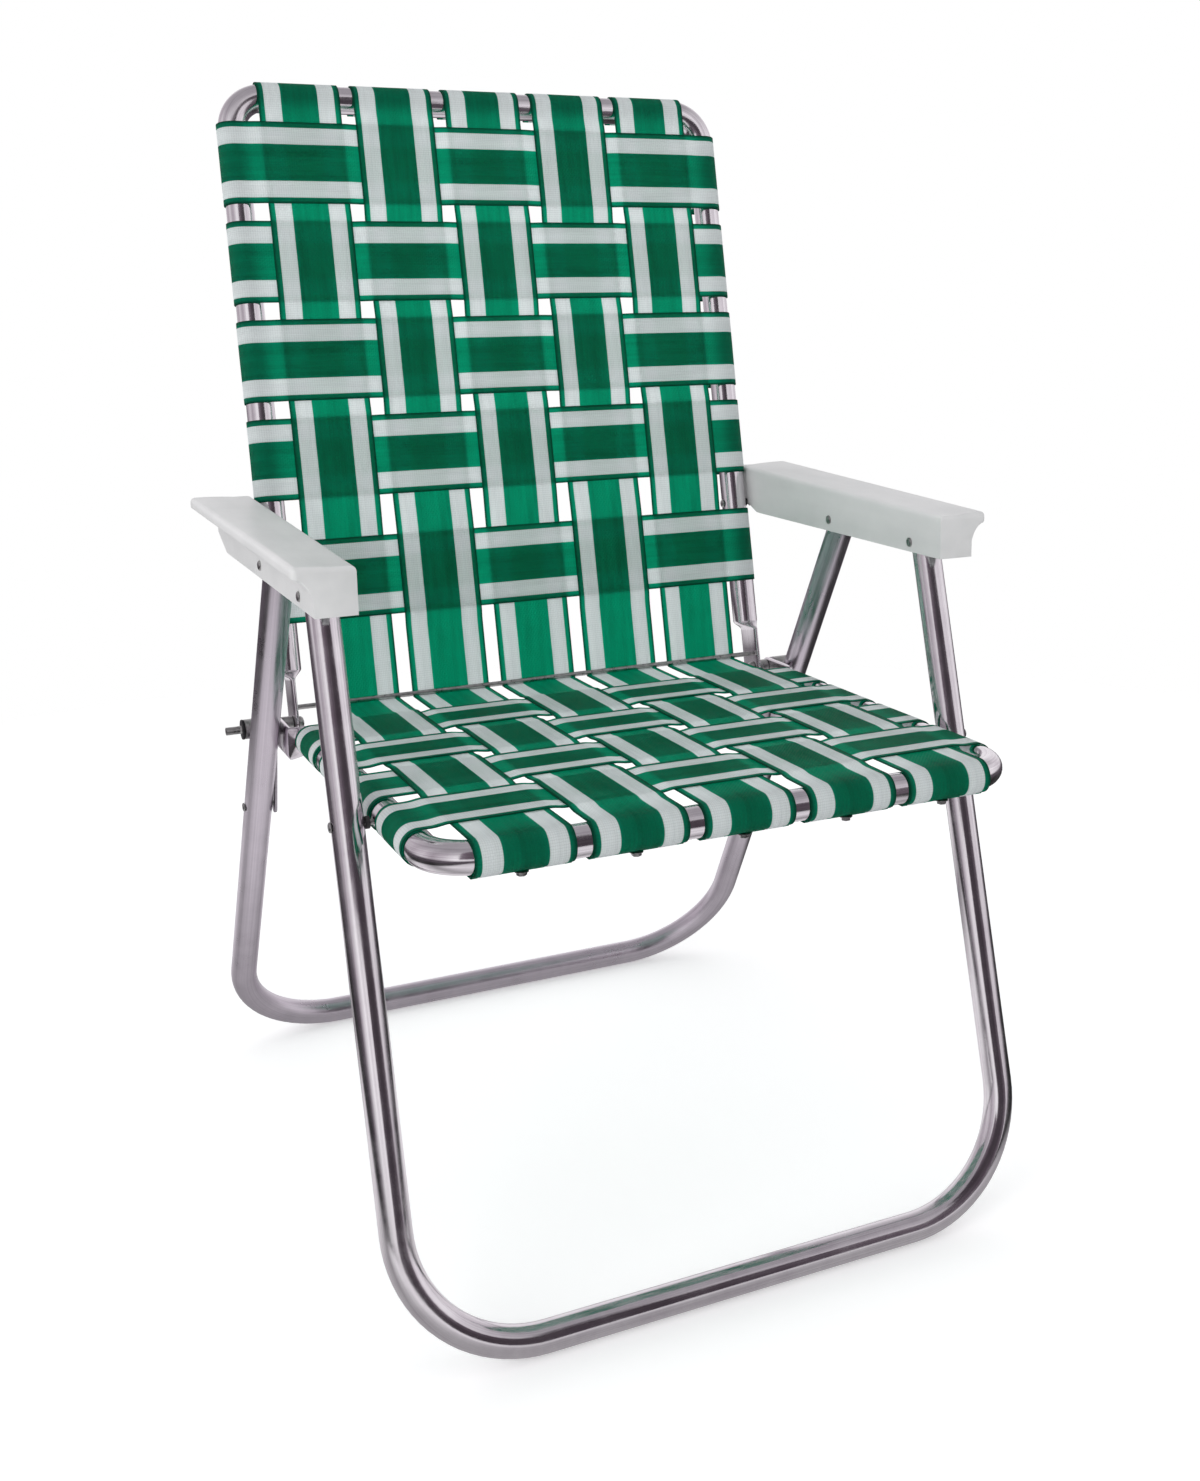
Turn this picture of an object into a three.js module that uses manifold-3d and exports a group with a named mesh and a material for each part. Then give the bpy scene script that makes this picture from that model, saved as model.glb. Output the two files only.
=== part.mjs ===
// Folding lawn chair: bent aluminium tube frames, moulded arms and woven webbing.
// Millimetres, +Z up, front towards -Y, origin on the floor below the middle of the chair.

import * as THREE from 'three';
import { mergeVertices } from 'three/addons/utils/BufferGeometryUtils.js';
import Module from 'manifold-3d';

const wasm = await Module();
wasm.setup();

// Fits shared by every piece
const clearance = 0.3;
const boreClearance = 0.3;
const cutOverrun = 5;
const weldDistance = 0.0001;

// Tube stock
const tubeRadius = 12.7;
const tubeWall = 1.25;
const tubeSides = 14;
const boreSides = 12;
const bendSteps = 6;

// Webbing stock
const webThick = 1.2;
const webTail = 10;
const wrapSteps = 8;

// Posture of the open chair
const hingeHeight = 401;
const backRecline = THREE.MathUtils.degToRad(12);
const seatRise = THREE.MathUtils.degToRad(2);
const frontLegLean = THREE.MathUtils.degToRad(16.4);
const rearLegLean = THREE.MathUtils.degToRad(31.4);

// Seat and back frames, measured from the hinge between them
const frameHalfWidth = 239;
const backLength = 586;
const backBendRadius = 32;
const seatLength = 463.7;
const seatBendRadius = 38;
const seatTubeDrop = 1.8;
const seatPivotReach = 333.3;
const seatPivotDrop = 4;

// Places of the straps: the gaps between neighbours give the straps their width
const columns = 5;
const columnGap = 12.5;
const columnSideGap = 23.5;
const backRows = 4;
const backRowGap = 16;
const backTopGap = 25.9;
const backLowEdge = 207.3;
const lumbarRow = 130.8;
const seatRows = 4;
const seatRowGap = 17.8;
const seatFrontGap = 40.3;
const seatRearEdge = 65.2;

// Legs, measured down from their rivets in the arms
const legPivotDrop = 176;
const legTopRise = 12;
const legBendRadius = 105;
const rearPivotSetback = 150.5;
const rearPivotDrop = 1;
const rearLegSplay = 7;
const braceHeight = 319;

// Flattened tube ends round the hinge
const plateThick = 4.6;
const plateSlot = 1;
const backPlateWide = 36;
const backPlateShift = 8;
const backPlateFlatTo = 40;
const backPlateRoundFrom = 48;
const seatPlateWide = 30;
const seatPlateShift = 4;
const seatPlateFlatTo = 52;
const seatPlateRoundFrom = 60;
const plateTail = 13;
const plateSquareShare = 0.5;
const plateTaperShare = 0.8;
const plateTailShares = [-1, -0.8, -0.45, 0];

// Hinge hardware
const boltRadius = 3.8;
const boltHeadRadius = 6.4;
const boltHeadThick = 5;
const boltEndReach = 14;
const boltPoint = 1;
const bushRadius = 7.35;
const washerRadius = 9.3;
const washerThick = 2.2;
const stopOverlap = 0.5;
const rodRadius = 2.4;
const rodHeight = 15;

// Brace link
const linkThick = 2.3;
const linkHalfWide = 9;
const linkEndSteps = 8;

// Rivets and spacers
const rivetRadius = 2.5;
const rivetHeadRadius = 4.2;
const rivetHeadThick = 1.6;
const spacerRadius = 5;

// Moulded arms
const armWall = 3.2;
const armOuterWall = 2.9;
const armNose = 51.5;
const armTail = 15;
const armTop = 30;
const armLipRise = 1.5;
const armLipReach = 15;
const armLipThick = 10;
const armLipFlare = 8;
const armCoveDrop = 15;
const armCoveShare = 0.25;
const armEdgeRound = 5;
const armLipLowRound = 2.5;
const armBottomFront = 7.5;
const armBottomRear = 15.5;
const armTaperLength = 40;
const armTaperRise = 14;
const armRoof = 3;
const armCurveSteps = 4;
const armLegClearance = 0.5;
const armWebClearance = 0.4;

// Cut ends of the webbing beside the crease rod
const backWebEnd = 16;
const seatWebEnd = 62;
const creaseBlend = 20;

// Finishes
const aluminium = { color: 0xc9c9cf, roughness: 0.22, metalness: 1 };
const dullAluminium = { color: 0xb4afb8, roughness: 0.4, metalness: 1 };
const zinc = { color: 0xb9bab8, roughness: 0.35, metalness: 1 };
const blackFinish = { color: 0x17171a, roughness: 0.45, metalness: 0.2 };
const mouldedWhite = { color: 0xe2e3e3, roughness: 0.4, metalness: 0 };
const greenWebbing = { color: 0x00855c, roughness: 0.6, metalness: 0 };

// Strap widths and rows that follow from the frames and the gaps
const shareOut = (run, count, gap) => (run - (count - 1) * gap) / count;
const columnWidth = shareOut(2 * (frameHalfWidth - columnSideGap), columns, columnGap);
const columnPitch = columnWidth + columnGap;
const backTopEdge = backLength - backTopGap;
const backRowWidth = shareOut(backTopEdge - backLowEdge, backRows, backRowGap);
const backRowPitch = backRowWidth + backRowGap;
const seatFrontEdge = seatLength - seatFrontGap;
const seatRowWidth = shareOut(seatFrontEdge - seatRearEdge, seatRows, seatRowGap);
const seatRowPitch = seatRowWidth + seatRowGap;

// Other sizes that follow from the ones above
const layerStep = webThick + clearance;
const webCentre = tubeRadius + clearance + webThick / 2;
const wrapReach = frameHalfWidth + webCentre + webThick / 2;
const armInnerX = wrapReach + armWebClearance;
const legInnerX = armInnerX + armWall + armLegClearance;
const legHalfWidth = legInnerX + tubeRadius;
const armOuterInsideX = legHalfWidth + tubeRadius + armWebClearance;
const armOuterX = armOuterInsideX + armOuterWall;
const seatPlateOuterX = legInnerX - clearance;
const seatPlateX = seatPlateOuterX - plateThick / 2;
const linkInnerX = legInnerX;
const linkOuterX = linkInnerX + linkThick;
const boreRadius = (radius) => radius + boreClearance;
const facetRadius = tubeRadius * Math.cos(Math.PI / tubeSides);

// A point of the side view, y to the rear and z up, turned about the X axis
function turned(y, z, angle) {
  const sin = Math.sin(angle);
  const cos = Math.cos(angle);
  return new THREE.Vector2(y * cos - z * sin, y * sin + z * cos);
}

// Pivots in the side view, from the hinge between seat and back
const seatPivot = turned(-seatPivotReach, -seatPivotDrop, -seatRise);
const armReach = turned(0, legPivotDrop, -frontLegLean);
const frontPivot = seatPivot.clone().add(armReach);
const rearPivot = frontPivot.clone().add(new THREE.Vector2(rearPivotSetback, -rearPivotDrop));
const backPivotAlong = legPivotDrop * Math.cos(frontLegLean - backRecline);
const backTubeSetback = legPivotDrop * Math.sin(frontLegLean - backRecline);
const frontLegLength = (hingeHeight + frontPivot.y - facetRadius) / Math.cos(frontLegLean);
const rearLegLength = (hingeHeight + rearPivot.y - facetRadius) / Math.cos(rearLegLean);
const bracePivotAlong = (hingeHeight + rearPivot.y - braceHeight) / Math.cos(rearLegLean);
const bracePivot = rearPivot.clone().add(turned(0, -bracePivotAlong, rearLegLean));
const frontBarY = frontPivot.x - frontLegLength * Math.sin(frontLegLean);
const rearBarY = rearPivot.x + rearLegLength * Math.sin(rearLegLean);
const seatFrontPlace = turned(-seatLength, -seatTubeDrop, -seatRise);
const frontEdgeY = Math.min(seatFrontPlace.x - webCentre - webThick / 2, frontBarY - tubeRadius);
const rearEdgeY = rearBarY + tubeRadius;
const hingeY = -(frontEdgeY + rearEdgeY) / 2;
const rearLegGap = Math.abs(rearPivot.x * Math.cos(rearLegLean) + rearPivot.y * Math.sin(rearLegLean));
const stopRadius = rearLegGap - tubeRadius - clearance;
const splayAt = (along) => legHalfWidth + (rearLegSplay * along) / rearLegLength;

// Solid modelling helpers
function toSolid(geometry) {
  const bare = geometry.clone();
  bare.deleteAttribute('normal');
  bare.deleteAttribute('uv');
  const merged = mergeVertices(bare, weldDistance);
  return new wasm.Manifold(new wasm.Mesh({
    numProp: 3,
    vertProperties: new Float32Array(merged.attributes.position.array),
    triVerts: new Uint32Array(merged.index.array),
  }));
}

function toGeometry(solid) {
  const mesh = solid.getMesh();
  const geometry = new THREE.BufferGeometry();
  geometry.setAttribute('position', new THREE.BufferAttribute(new Float32Array(mesh.vertProperties), 3));
  geometry.setIndex(new THREE.BufferAttribute(new Uint32Array(mesh.triVerts), 1));
  geometry.computeVertexNormals();
  return geometry;
}

function withoutCuts(geometry, cutters) {
  let solid = toSolid(geometry);
  for (const cutter of cutters) {
    solid = solid.subtract(toSolid(cutter));
  }
  return toGeometry(solid);
}

// A round cutter along X, long enough to pass through the whole chair
function crossBore(radius, y, z) {
  const length = 2 * (armOuterX + cutOverrun);
  const cutter = new THREE.CylinderGeometry(boreRadius(radius), boreRadius(radius), length, boreSides);
  cutter.rotateZ(Math.PI / 2);
  cutter.translate(0, y, z);
  return cutter;
}

function mirrored(geometry) {
  const copy = geometry.clone();
  copy.scale(-1, 1, 1);
  const index = copy.index.array;
  for (let i = 0; i < index.length; i += 3) {
    const first = index[i];
    index[i] = index[i + 1];
    index[i + 1] = first;
  }
  copy.computeVertexNormals();
  return copy;
}

// Tubes: a centre line that steps only where the tube bends or changes its section
class StationCurve extends THREE.Curve {
  constructor(stations) {
    super();
    this.stations = stations;
  }

  getPoint(t, target = new THREE.Vector3()) {
    const place = Math.round(t * (this.stations.length - 1));
    return target.copy(this.stations[place].point);
  }

  getPointAt(u, target) {
    return this.getPoint(u, target);
  }

  getTangentAt(u, target = new THREE.Vector3()) {
    const place = Math.round(u * (this.stations.length - 1));
    return target.copy(this.stations[place].tangent);
  }
}

function roundPoints(radius, sides, phase) {
  const points = [];
  for (let i = 0; i < sides; i += 1) {
    const angle = phase + (2 * Math.PI * i) / sides;
    points.push(new THREE.Vector2(radius * Math.cos(angle), radius * Math.sin(angle)));
  }
  return points;
}

// The stations of one round bend between two straight runs
function bendStations(before, corner, after, radius) {
  const into = corner.clone().sub(before).normalize();
  const out = after.clone().sub(corner).normalize();
  const turn = into.angleTo(out);
  const setback = radius * Math.tan(turn / 2);
  const start = corner.clone().addScaledVector(into, -setback);
  const inward = out.clone().addScaledVector(into, -into.dot(out)).normalize();
  const stations = [];
  for (let i = 0; i <= bendSteps; i += 1) {
    const angle = (turn * i) / bendSteps;
    const point = start.clone();
    point.addScaledVector(into, radius * Math.sin(angle));
    point.addScaledVector(inward, radius * (1 - Math.cos(angle)));
    const tangent = into.clone().multiplyScalar(Math.cos(angle));
    tangent.addScaledVector(inward, Math.sin(angle));
    stations.push({ point, tangent });
  }
  return stations;
}

// A U of tube in the XZ plane: both ends at the listed heights, its cross bar at the far end
function bentU({ endWidth, barWidth, endPlaces, length, bendRadius, phase }) {
  const low = endPlaces[0];
  const ends = [-1, 1].map((side) => new THREE.Vector3(side * endWidth, 0, low));
  const bars = [-1, 1].map((side) => new THREE.Vector3(side * barWidth, 0, length));
  const rising = bars[0].clone().sub(ends[0]).normalize();
  const falling = ends[1].clone().sub(bars[1]).normalize();
  const places = endPlaces.map((place) => place - low);
  const stations = places.map((place) => ({
    point: ends[0].clone().addScaledVector(rising, place),
    tangent: rising,
  }));
  stations.push(...bendStations(ends[0], bars[0], bars[1], bendRadius));
  stations.push(...bendStations(bars[0], bars[1], ends[1], bendRadius));
  for (const place of [...places].reverse()) {
    stations.push({ point: ends[1].clone().addScaledVector(falling, -place), tangent: falling });
  }
  const section = new THREE.Shape(roundPoints(tubeRadius, tubeSides, phase));
  section.holes.push(new THREE.Path(roundPoints(tubeRadius - tubeWall, boreSides, phase)));
  return new THREE.ExtrudeGeometry(section, {
    steps: stations.length - 1,
    bevelEnabled: false,
    extrudePath: new StationCurve(stations),
  });
}

// The places along a flattened end where its section changes
function plateStations(flatTo, roundFrom) {
  const places = plateTailShares.map((share) => share * plateTail);
  places.push(flatTo, (flatTo + roundFrom) / 2, roundFrom);
  return places;
}

const signedPower = (value, power) => Math.sign(value) * Math.abs(value) ** power;

// Presses both ends of a U flat, with a round tail and a sideways shift of the flat part
function flattenEnds(geometry, { flatTo, roundFrom, wide, outward, rearward }) {
  const position = geometry.attributes.position;
  const innerLimit = tubeRadius - tubeWall / 2;
  for (let i = 0; i < position.count; i += 1) {
    const z = position.getZ(i);
    const share = THREE.MathUtils.smoothstep(roundFrom - z, 0, roundFrom - flatTo);
    const side = Math.sign(position.getX(i));
    const across = Math.abs(position.getX(i)) - frameHalfWidth;
    const along = position.getY(i);
    const radius = Math.hypot(across, along);
    if (share > 0 && radius > 0) {
      const inner = radius < innerLimit;
      const halfThick = inner ? plateSlot / 2 : plateThick / 2;
      const taper = Math.sqrt(1 - (plateTaperShare * Math.min(z, 0) / plateTail) ** 2);
      const halfWide = (wide / 2 - (inner ? tubeWall : 0)) * taper;
      const flatAcross = outward + signedPower(across / radius, plateSquareShare) * halfThick;
      const flatAlong = rearward + signedPower(along / radius, plateSquareShare) * halfWide;
      position.setX(i, side * (frameHalfWidth + THREE.MathUtils.lerp(across, flatAcross, share)));
      position.setY(i, THREE.MathUtils.lerp(along, flatAlong, share));
    }
  }
  position.needsUpdate = true;
  return geometry;
}

function backFrameGeometry() {
  const frame = bentU({
    endWidth: frameHalfWidth,
    barWidth: frameHalfWidth,
    endPlaces: plateStations(backPlateFlatTo, backPlateRoundFrom),
    length: backLength,
    bendRadius: backBendRadius,
    phase: 0,
  });
  flattenEnds(frame, {
    flatTo: backPlateFlatTo,
    roundFrom: backPlateRoundFrom,
    wide: backPlateWide,
    outward: 0,
    rearward: -backPlateShift,
  });
  frame.translate(0, backTubeSetback, 0);
  return withoutCuts(frame, [
    crossBore(boltRadius, 0, 0),
    crossBore(rivetRadius, backTubeSetback, backPivotAlong),
  ]);
}

function seatFrameGeometry() {
  const frame = bentU({
    endWidth: frameHalfWidth,
    barWidth: frameHalfWidth,
    endPlaces: plateStations(seatPlateFlatTo, seatPlateRoundFrom),
    length: seatLength,
    bendRadius: seatBendRadius,
    phase: 0,
  });
  flattenEnds(frame, {
    flatTo: seatPlateFlatTo,
    roundFrom: seatPlateRoundFrom,
    wide: seatPlateWide,
    outward: seatPlateX - frameHalfWidth,
    rearward: -seatPlateShift,
  });
  frame.rotateX(Math.PI / 2);
  frame.translate(0, 0, -seatTubeDrop);
  return withoutCuts(frame, [
    crossBore(boltRadius, 0, 0),
    crossBore(rivetRadius, -seatPivotReach, -seatPivotDrop),
  ]);
}

// A leg frame hangs down from its rivets, with a facet of its bar turned flat on the floor
function legFrameGeometry({ topWidth, barWidth, length, lean, bores }) {
  const widening = (barWidth - topWidth) / length;
  const frame = bentU({
    endWidth: topWidth - widening * legTopRise,
    barWidth,
    endPlaces: [-legTopRise],
    length,
    bendRadius: legBendRadius,
    phase: Math.atan2(-Math.cos(lean), -Math.sin(lean)) - Math.PI / tubeSides,
  });
  frame.rotateX(Math.PI);
  return withoutCuts(frame, bores.map((along) => crossBore(rivetRadius, 0, -along)));
}

// Round hardware turned about X: pairs of radius and reach, from the inner end outwards
function turnedPin(profile, sides = tubeSides) {
  const points = profile.map(([radius, reach]) => new THREE.Vector2(radius, reach));
  const geometry = new THREE.LatheGeometry(points, sides);
  geometry.rotateZ(-Math.PI / 2);
  return geometry;
}

function ringGeometry(outer, inner, from, to) {
  return turnedPin([[inner, from], [outer, from], [outer, to], [inner, to], [inner, from]]);
}

// A rivet with a low round head at each end of its grip
function rivetGeometry(from, to, headRadius = rivetHeadRadius) {
  const crown = rivetHeadThick / 2;
  return turnedPin([
    [0, from - rivetHeadThick],
    [headRadius - crown, from - rivetHeadThick],
    [headRadius, from - crown],
    [headRadius, from],
    [rivetRadius, from],
    [rivetRadius, to],
    [headRadius, to],
    [headRadius, to + crown],
    [headRadius - crown, to + rivetHeadThick],
    [0, to + rivetHeadThick],
  ]);
}

// Webbing: a ribbon outline of even thickness along a row of centre points
function ribbonShape(centres) {
  const last = centres.length - 1;
  const offsets = centres.map((centre, i) => {
    const into = centre.clone().sub(centres[Math.max(i - 1, 0)]);
    const out = centres[Math.min(i + 1, last)].clone().sub(centre);
    const first = (i === 0 ? out : into).normalize();
    const second = (i === last ? into : out).normalize();
    const normal = new THREE.Vector2(-first.y, first.x);
    const mitre = new THREE.Vector2(-second.y, second.x).add(normal).normalize();
    return mitre.multiplyScalar(webThick / 2 / mitre.dot(normal));
  });
  const left = centres.map((centre, i) => centre.clone().add(offsets[i]));
  const right = centres.map((centre, i) => centre.clone().sub(offsets[i]));
  return new THREE.Shape([...left, ...right.reverse()]);
}

function strapGeometry(centres, width) {
  const strap = new THREE.ExtrudeGeometry(ribbonShape(centres), {
    depth: width,
    bevelEnabled: false,
  });
  strap.translate(0, 0, -width / 2);
  return strap;
}

// Half a turn round a tube, from its rear side over the outside to its front side.
// Along runs outwards at the tube, and off runs towards the sitter.
function wrapPoints(along) {
  const points = [[along - webTail, -webCentre], [along, -webCentre]];
  const step = Math.PI / wrapSteps;
  const cornerRadius = webCentre / Math.cos(step / 2);
  for (let i = 0; i < wrapSteps; i += 1) {
    const angle = i * step + step / 2;
    points.push([along + cornerRadius * Math.sin(angle), -cornerRadius * Math.cos(angle)]);
  }
  points.push([along, webCentre]);
  return points;
}

// The woven stretch: raised by one layer where another strap of that width passes below
function wovenPoints(crossings, width) {
  const points = [];
  for (const { centre, raised } of crossings) {
    const off = webCentre + (raised ? layerStep : 0);
    points.push([centre + width / 2, off], [centre - width / 2, off]);
  }
  return points;
}

const columnPlaces = Array.from({ length: columns }, (_, i) => (i - (columns - 1) / 2) * columnPitch);
const rowPlaces = (count, edge, width, pitch) => (
  Array.from({ length: count }, (_, i) => edge - width / 2 - i * pitch)
);
const backRowPlaces = rowPlaces(backRows, backTopEdge, backRowWidth, backRowPitch);
backRowPlaces.push(lumbarRow);
const seatRowPlaces = rowPlaces(seatRows, seatFrontEdge, seatRowWidth, seatRowPitch);

// Rows count from the top of the back and from the front of the seat, columns from the left.
// A cross strap is on top where its row and the column are both odd or both even.
const crossOnTop = (row, column) => (row + column) % 2 === 0;

// A strap across a frame, wrapped round both side tubes
function crossStrapPoints(onTop) {
  const crossings = columnPlaces.map((centre, column) => ({ centre, raised: onTop(column) }));
  const right = wrapPoints(frameHalfWidth);
  const left = wrapPoints(frameHalfWidth).map(([along, off]) => [-along, off]).reverse();
  return [...right, ...wovenPoints(crossings.reverse(), columnWidth), ...left];
}

// A strap along a frame, wrapped round its cross bar and cut beside the crease
function longStrapPoints(barPlace, places, rowWidth, raisedAt, ending) {
  const crossings = places.map((centre, row) => ({ centre, raised: raisedAt(row) }));
  return [...wrapPoints(barPlace), ...wovenPoints(crossings, rowWidth), ...ending];
}

const sideBasis = new THREE.Matrix4().makeBasis(
  new THREE.Vector3(0, 1, 0),
  new THREE.Vector3(0, 0, 1),
  new THREE.Vector3(1, 0, 0),
);
const seatCrossBasis = new THREE.Matrix4().makeBasis(
  new THREE.Vector3(1, 0, 0),
  new THREE.Vector3(0, 0, 1),
  new THREE.Vector3(0, -1, 0),
);

function backColumnGeometry(column) {
  const below = lumbarRow - backRowWidth / 2 - creaseBlend;
  const ending = [[below, webCentre], [backWebEnd, webCentre]];
  const raisedAt = (row) => !crossOnTop(row, column);
  const points = longStrapPoints(backLength, backRowPlaces, backRowWidth, raisedAt, ending);
  const centres = points.map(([along, off]) => new THREE.Vector2(backTubeSetback - off, along));
  const strap = strapGeometry(centres, columnWidth);
  strap.applyMatrix4(sideBasis);
  strap.translate(columnPlaces[column], 0, 0);
  return strap;
}

function seatColumnGeometry(column) {
  const raisedAt = (row) => !crossOnTop(row, column);
  const endOff = webCentre + (raisedAt(seatRows - 1) ? layerStep : 0);
  const ending = [[seatWebEnd, endOff]];
  const points = longStrapPoints(seatLength, seatRowPlaces, seatRowWidth, raisedAt, ending);
  const centres = points.map(([along, off]) => new THREE.Vector2(-along, off - seatTubeDrop));
  const strap = strapGeometry(centres, columnWidth);
  strap.applyMatrix4(sideBasis);
  strap.translate(columnPlaces[column], 0, 0);
  return strap;
}

// The short stretch of a long strap that bends under the crease rod, in the hinge's own axes
function creaseGeometry(column) {
  const raised = !crossOnTop(seatRows - 1, column);
  const endOff = webCentre + (raised ? layerStep : 0) - seatTubeDrop;
  const seatOff = webCentre - seatTubeDrop;
  const backOff = backTubeSetback - webCentre;
  const fold = backRecline - seatRise;
  const cornerAlong = (seatOff + backOff * Math.sin(fold)) / Math.cos(fold);
  const corner = turned(backOff, cornerAlong, -backRecline);
  const centres = [
    turned(backOff, backWebEnd - clearance, -backRecline),
    corner,
    turned(-(seatWebEnd - creaseBlend), seatOff, -seatRise),
    turned(-(seatWebEnd - webThick), endOff, -seatRise),
    turned(-(seatWebEnd - clearance), endOff, -seatRise),
  ];
  const strap = strapGeometry(centres, columnWidth);
  strap.applyMatrix4(sideBasis);
  strap.translate(columnPlaces[column], 0, 0);
  return strap;
}

function backCrossGeometry(row) {
  const points = crossStrapPoints((column) => crossOnTop(row, column));
  const centres = points.map(([along, off]) => new THREE.Vector2(along, backTubeSetback - off));
  const strap = strapGeometry(centres, backRowWidth);
  strap.translate(0, 0, backRowPlaces[row]);
  return strap;
}

function seatCrossGeometry(row) {
  const points = crossStrapPoints((column) => crossOnTop(row, column));
  const centres = points.map(([along, off]) => new THREE.Vector2(along, off - seatTubeDrop));
  const strap = strapGeometry(centres, seatRowWidth);
  strap.applyMatrix4(seatCrossBasis);
  strap.translate(0, -seatRowPlaces[row], 0);
  return strap;
}

// The right arm, in axes through the front leg's rivet: a channel with a rolled outer lip
function armGeometry() {
  const front = -armNose;
  const backPlace = armReach.clone().sub(frontPivot);
  const rear = backPlace.x + armTail;
  const lipX = armOuterX + armLipReach;
  const lipTop = armTop + armLipRise;
  const lipLow = lipTop - armLipThick;
  const coveLow = lipLow - armCoveDrop;
  const below = -armBottomRear - cutOverrun;
  const profile = new THREE.Shape();
  profile.moveTo(armInnerX, below);
  profile.lineTo(armOuterX, below);
  profile.lineTo(armOuterX, coveLow);
  const coveX = armOuterX + armLipReach * armCoveShare;
  const coveTop = lipLow - armCoveDrop * armCoveShare;
  profile.quadraticCurveTo(coveX, coveTop, lipX - armLipLowRound, lipLow);
  profile.quadraticCurveTo(lipX, lipLow, lipX, lipLow + armLipLowRound);
  profile.lineTo(lipX, lipTop - armEdgeRound);
  profile.quadraticCurveTo(lipX, lipTop, lipX - armEdgeRound, lipTop);
  profile.quadraticCurveTo(armOuterX, lipTop, legHalfWidth, armTop);
  profile.lineTo(armInnerX + armEdgeRound, armTop);
  profile.quadraticCurveTo(armInnerX, armTop, armInnerX, armTop - armEdgeRound);
  profile.closePath();
  const body = new THREE.ExtrudeGeometry(profile, {
    depth: rear - front,
    bevelEnabled: false,
    curveSegments: armCurveSteps,
  });
  body.rotateX(Math.PI / 2);
  body.translate(0, rear, 0);
  const position = body.attributes.position;
  for (let i = 0; i < position.count; i += 1) {
    const beyond = Math.max(position.getX(i) - armOuterX, 0) / armLipReach;
    const back = (position.getY(i) - front) / (rear - front);
    position.setX(i, position.getX(i) + armLipFlare * beyond * back);
  }

  const sideOutline = new THREE.Shape();
  sideOutline.moveTo(front, -armBottomFront);
  sideOutline.lineTo(rear - armTaperLength, -armBottomRear);
  sideOutline.lineTo(rear, armTaperRise - armBottomRear);
  sideOutline.lineTo(rear, lipTop + cutOverrun);
  sideOutline.lineTo(front + armEdgeRound, lipTop + cutOverrun);
  sideOutline.lineTo(front + armEdgeRound, lipTop);
  sideOutline.quadraticCurveTo(front, lipTop, front, lipTop - armEdgeRound);
  sideOutline.closePath();
  const side = new THREE.ExtrudeGeometry(sideOutline, {
    depth: lipX + armLipFlare + cutOverrun,
    bevelEnabled: false,
    curveSegments: armCurveSteps,
  });
  side.applyMatrix4(sideBasis);

  const cavityLength = rear - front - 2 * armWall;
  const cavityHeight = armTop - armRoof - below + cutOverrun;
  const cavity = new THREE.BoxGeometry(armOuterInsideX - armInnerX - armWall, cavityLength, cavityHeight);
  cavity.translate(
    (armOuterInsideX + armInnerX + armWall) / 2,
    (front + rear) / 2,
    armTop - armRoof - cavityHeight / 2,
  );
  let solid = toSolid(body).intersect(toSolid(side));
  solid = solid.subtract(toSolid(cavity));
  solid = solid.subtract(toSolid(crossBore(rivetRadius, 0, 0)));
  solid = solid.subtract(toSolid(crossBore(rivetRadius, rearPivotSetback, -rearPivotDrop)));
  solid = solid.subtract(toSolid(crossBore(rivetRadius, backPlace.x, backPlace.y)));
  return toGeometry(solid);
}

// The brace link, a flat bar with round ends from the hinge bolt to the rear leg
function linkGeometry() {
  const length = bracePivot.length();
  const outline = new THREE.Shape();
  outline.absarc(0, 0, linkHalfWide, 0, Math.PI, false);
  outline.absarc(0, -length, linkHalfWide, Math.PI, 2 * Math.PI, false);
  outline.closePath();
  const bar = new THREE.ExtrudeGeometry(outline, {
    depth: linkThick,
    bevelEnabled: false,
    curveSegments: linkEndSteps,
  });
  bar.applyMatrix4(sideBasis);
  const cutter = crossBore(boltRadius, 0, 0);
  return withoutCuts(bar, [cutter]);
}

// Scene graph
const chair = new THREE.Group();
chair.position.set(0, hingeY, hingeHeight);

function subgroup(place, angle) {
  const group = new THREE.Group();
  group.position.set(0, place.x, place.y);
  group.rotation.x = angle;
  chair.add(group);
  return group;
}

const hinge = new THREE.Vector2(0, 0);
const seatGroup = subgroup(hinge, -seatRise);
const backGroup = subgroup(hinge, -backRecline);
const hingeGroup = subgroup(hinge, 0);
const frontLegGroup = subgroup(frontPivot, -frontLegLean);
const rearLegGroup = subgroup(rearPivot, rearLegLean);
const armGroup = subgroup(frontPivot, 0);
const linkGroup = subgroup(hinge, Math.atan2(bracePivot.x, -bracePivot.y));

function addPiece(group, name, geometry, finish) {
  const mesh = new THREE.Mesh(geometry, new THREE.MeshStandardMaterial(finish));
  mesh.name = name;
  group.add(mesh);
  return mesh;
}

// The same turned piece on the right, and half a turn round on the left
function addPair(group, name, geometry, finish, y = 0, z = 0) {
  for (const side of ['left', 'right']) {
    const mesh = addPiece(group, `${name}_${side}`, geometry, finish);
    mesh.position.set(0, y, z);
    mesh.rotation.y = side === 'left' ? Math.PI : 0;
  }
}

// Tube frames
addPiece(seatGroup, 'seat_frame', seatFrameGeometry(), aluminium);
addPiece(backGroup, 'back_frame', backFrameGeometry(), aluminium);
addPiece(frontLegGroup, 'front_leg_frame', legFrameGeometry({
  topWidth: legHalfWidth,
  barWidth: legHalfWidth,
  length: frontLegLength,
  lean: -frontLegLean,
  bores: [0, legPivotDrop],
}), aluminium);
addPiece(rearLegGroup, 'rear_leg_frame', legFrameGeometry({
  topWidth: legHalfWidth,
  barWidth: legHalfWidth + rearLegSplay,
  length: rearLegLength,
  lean: rearLegLean,
  bores: [0, bracePivotAlong],
}), dullAluminium);

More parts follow.
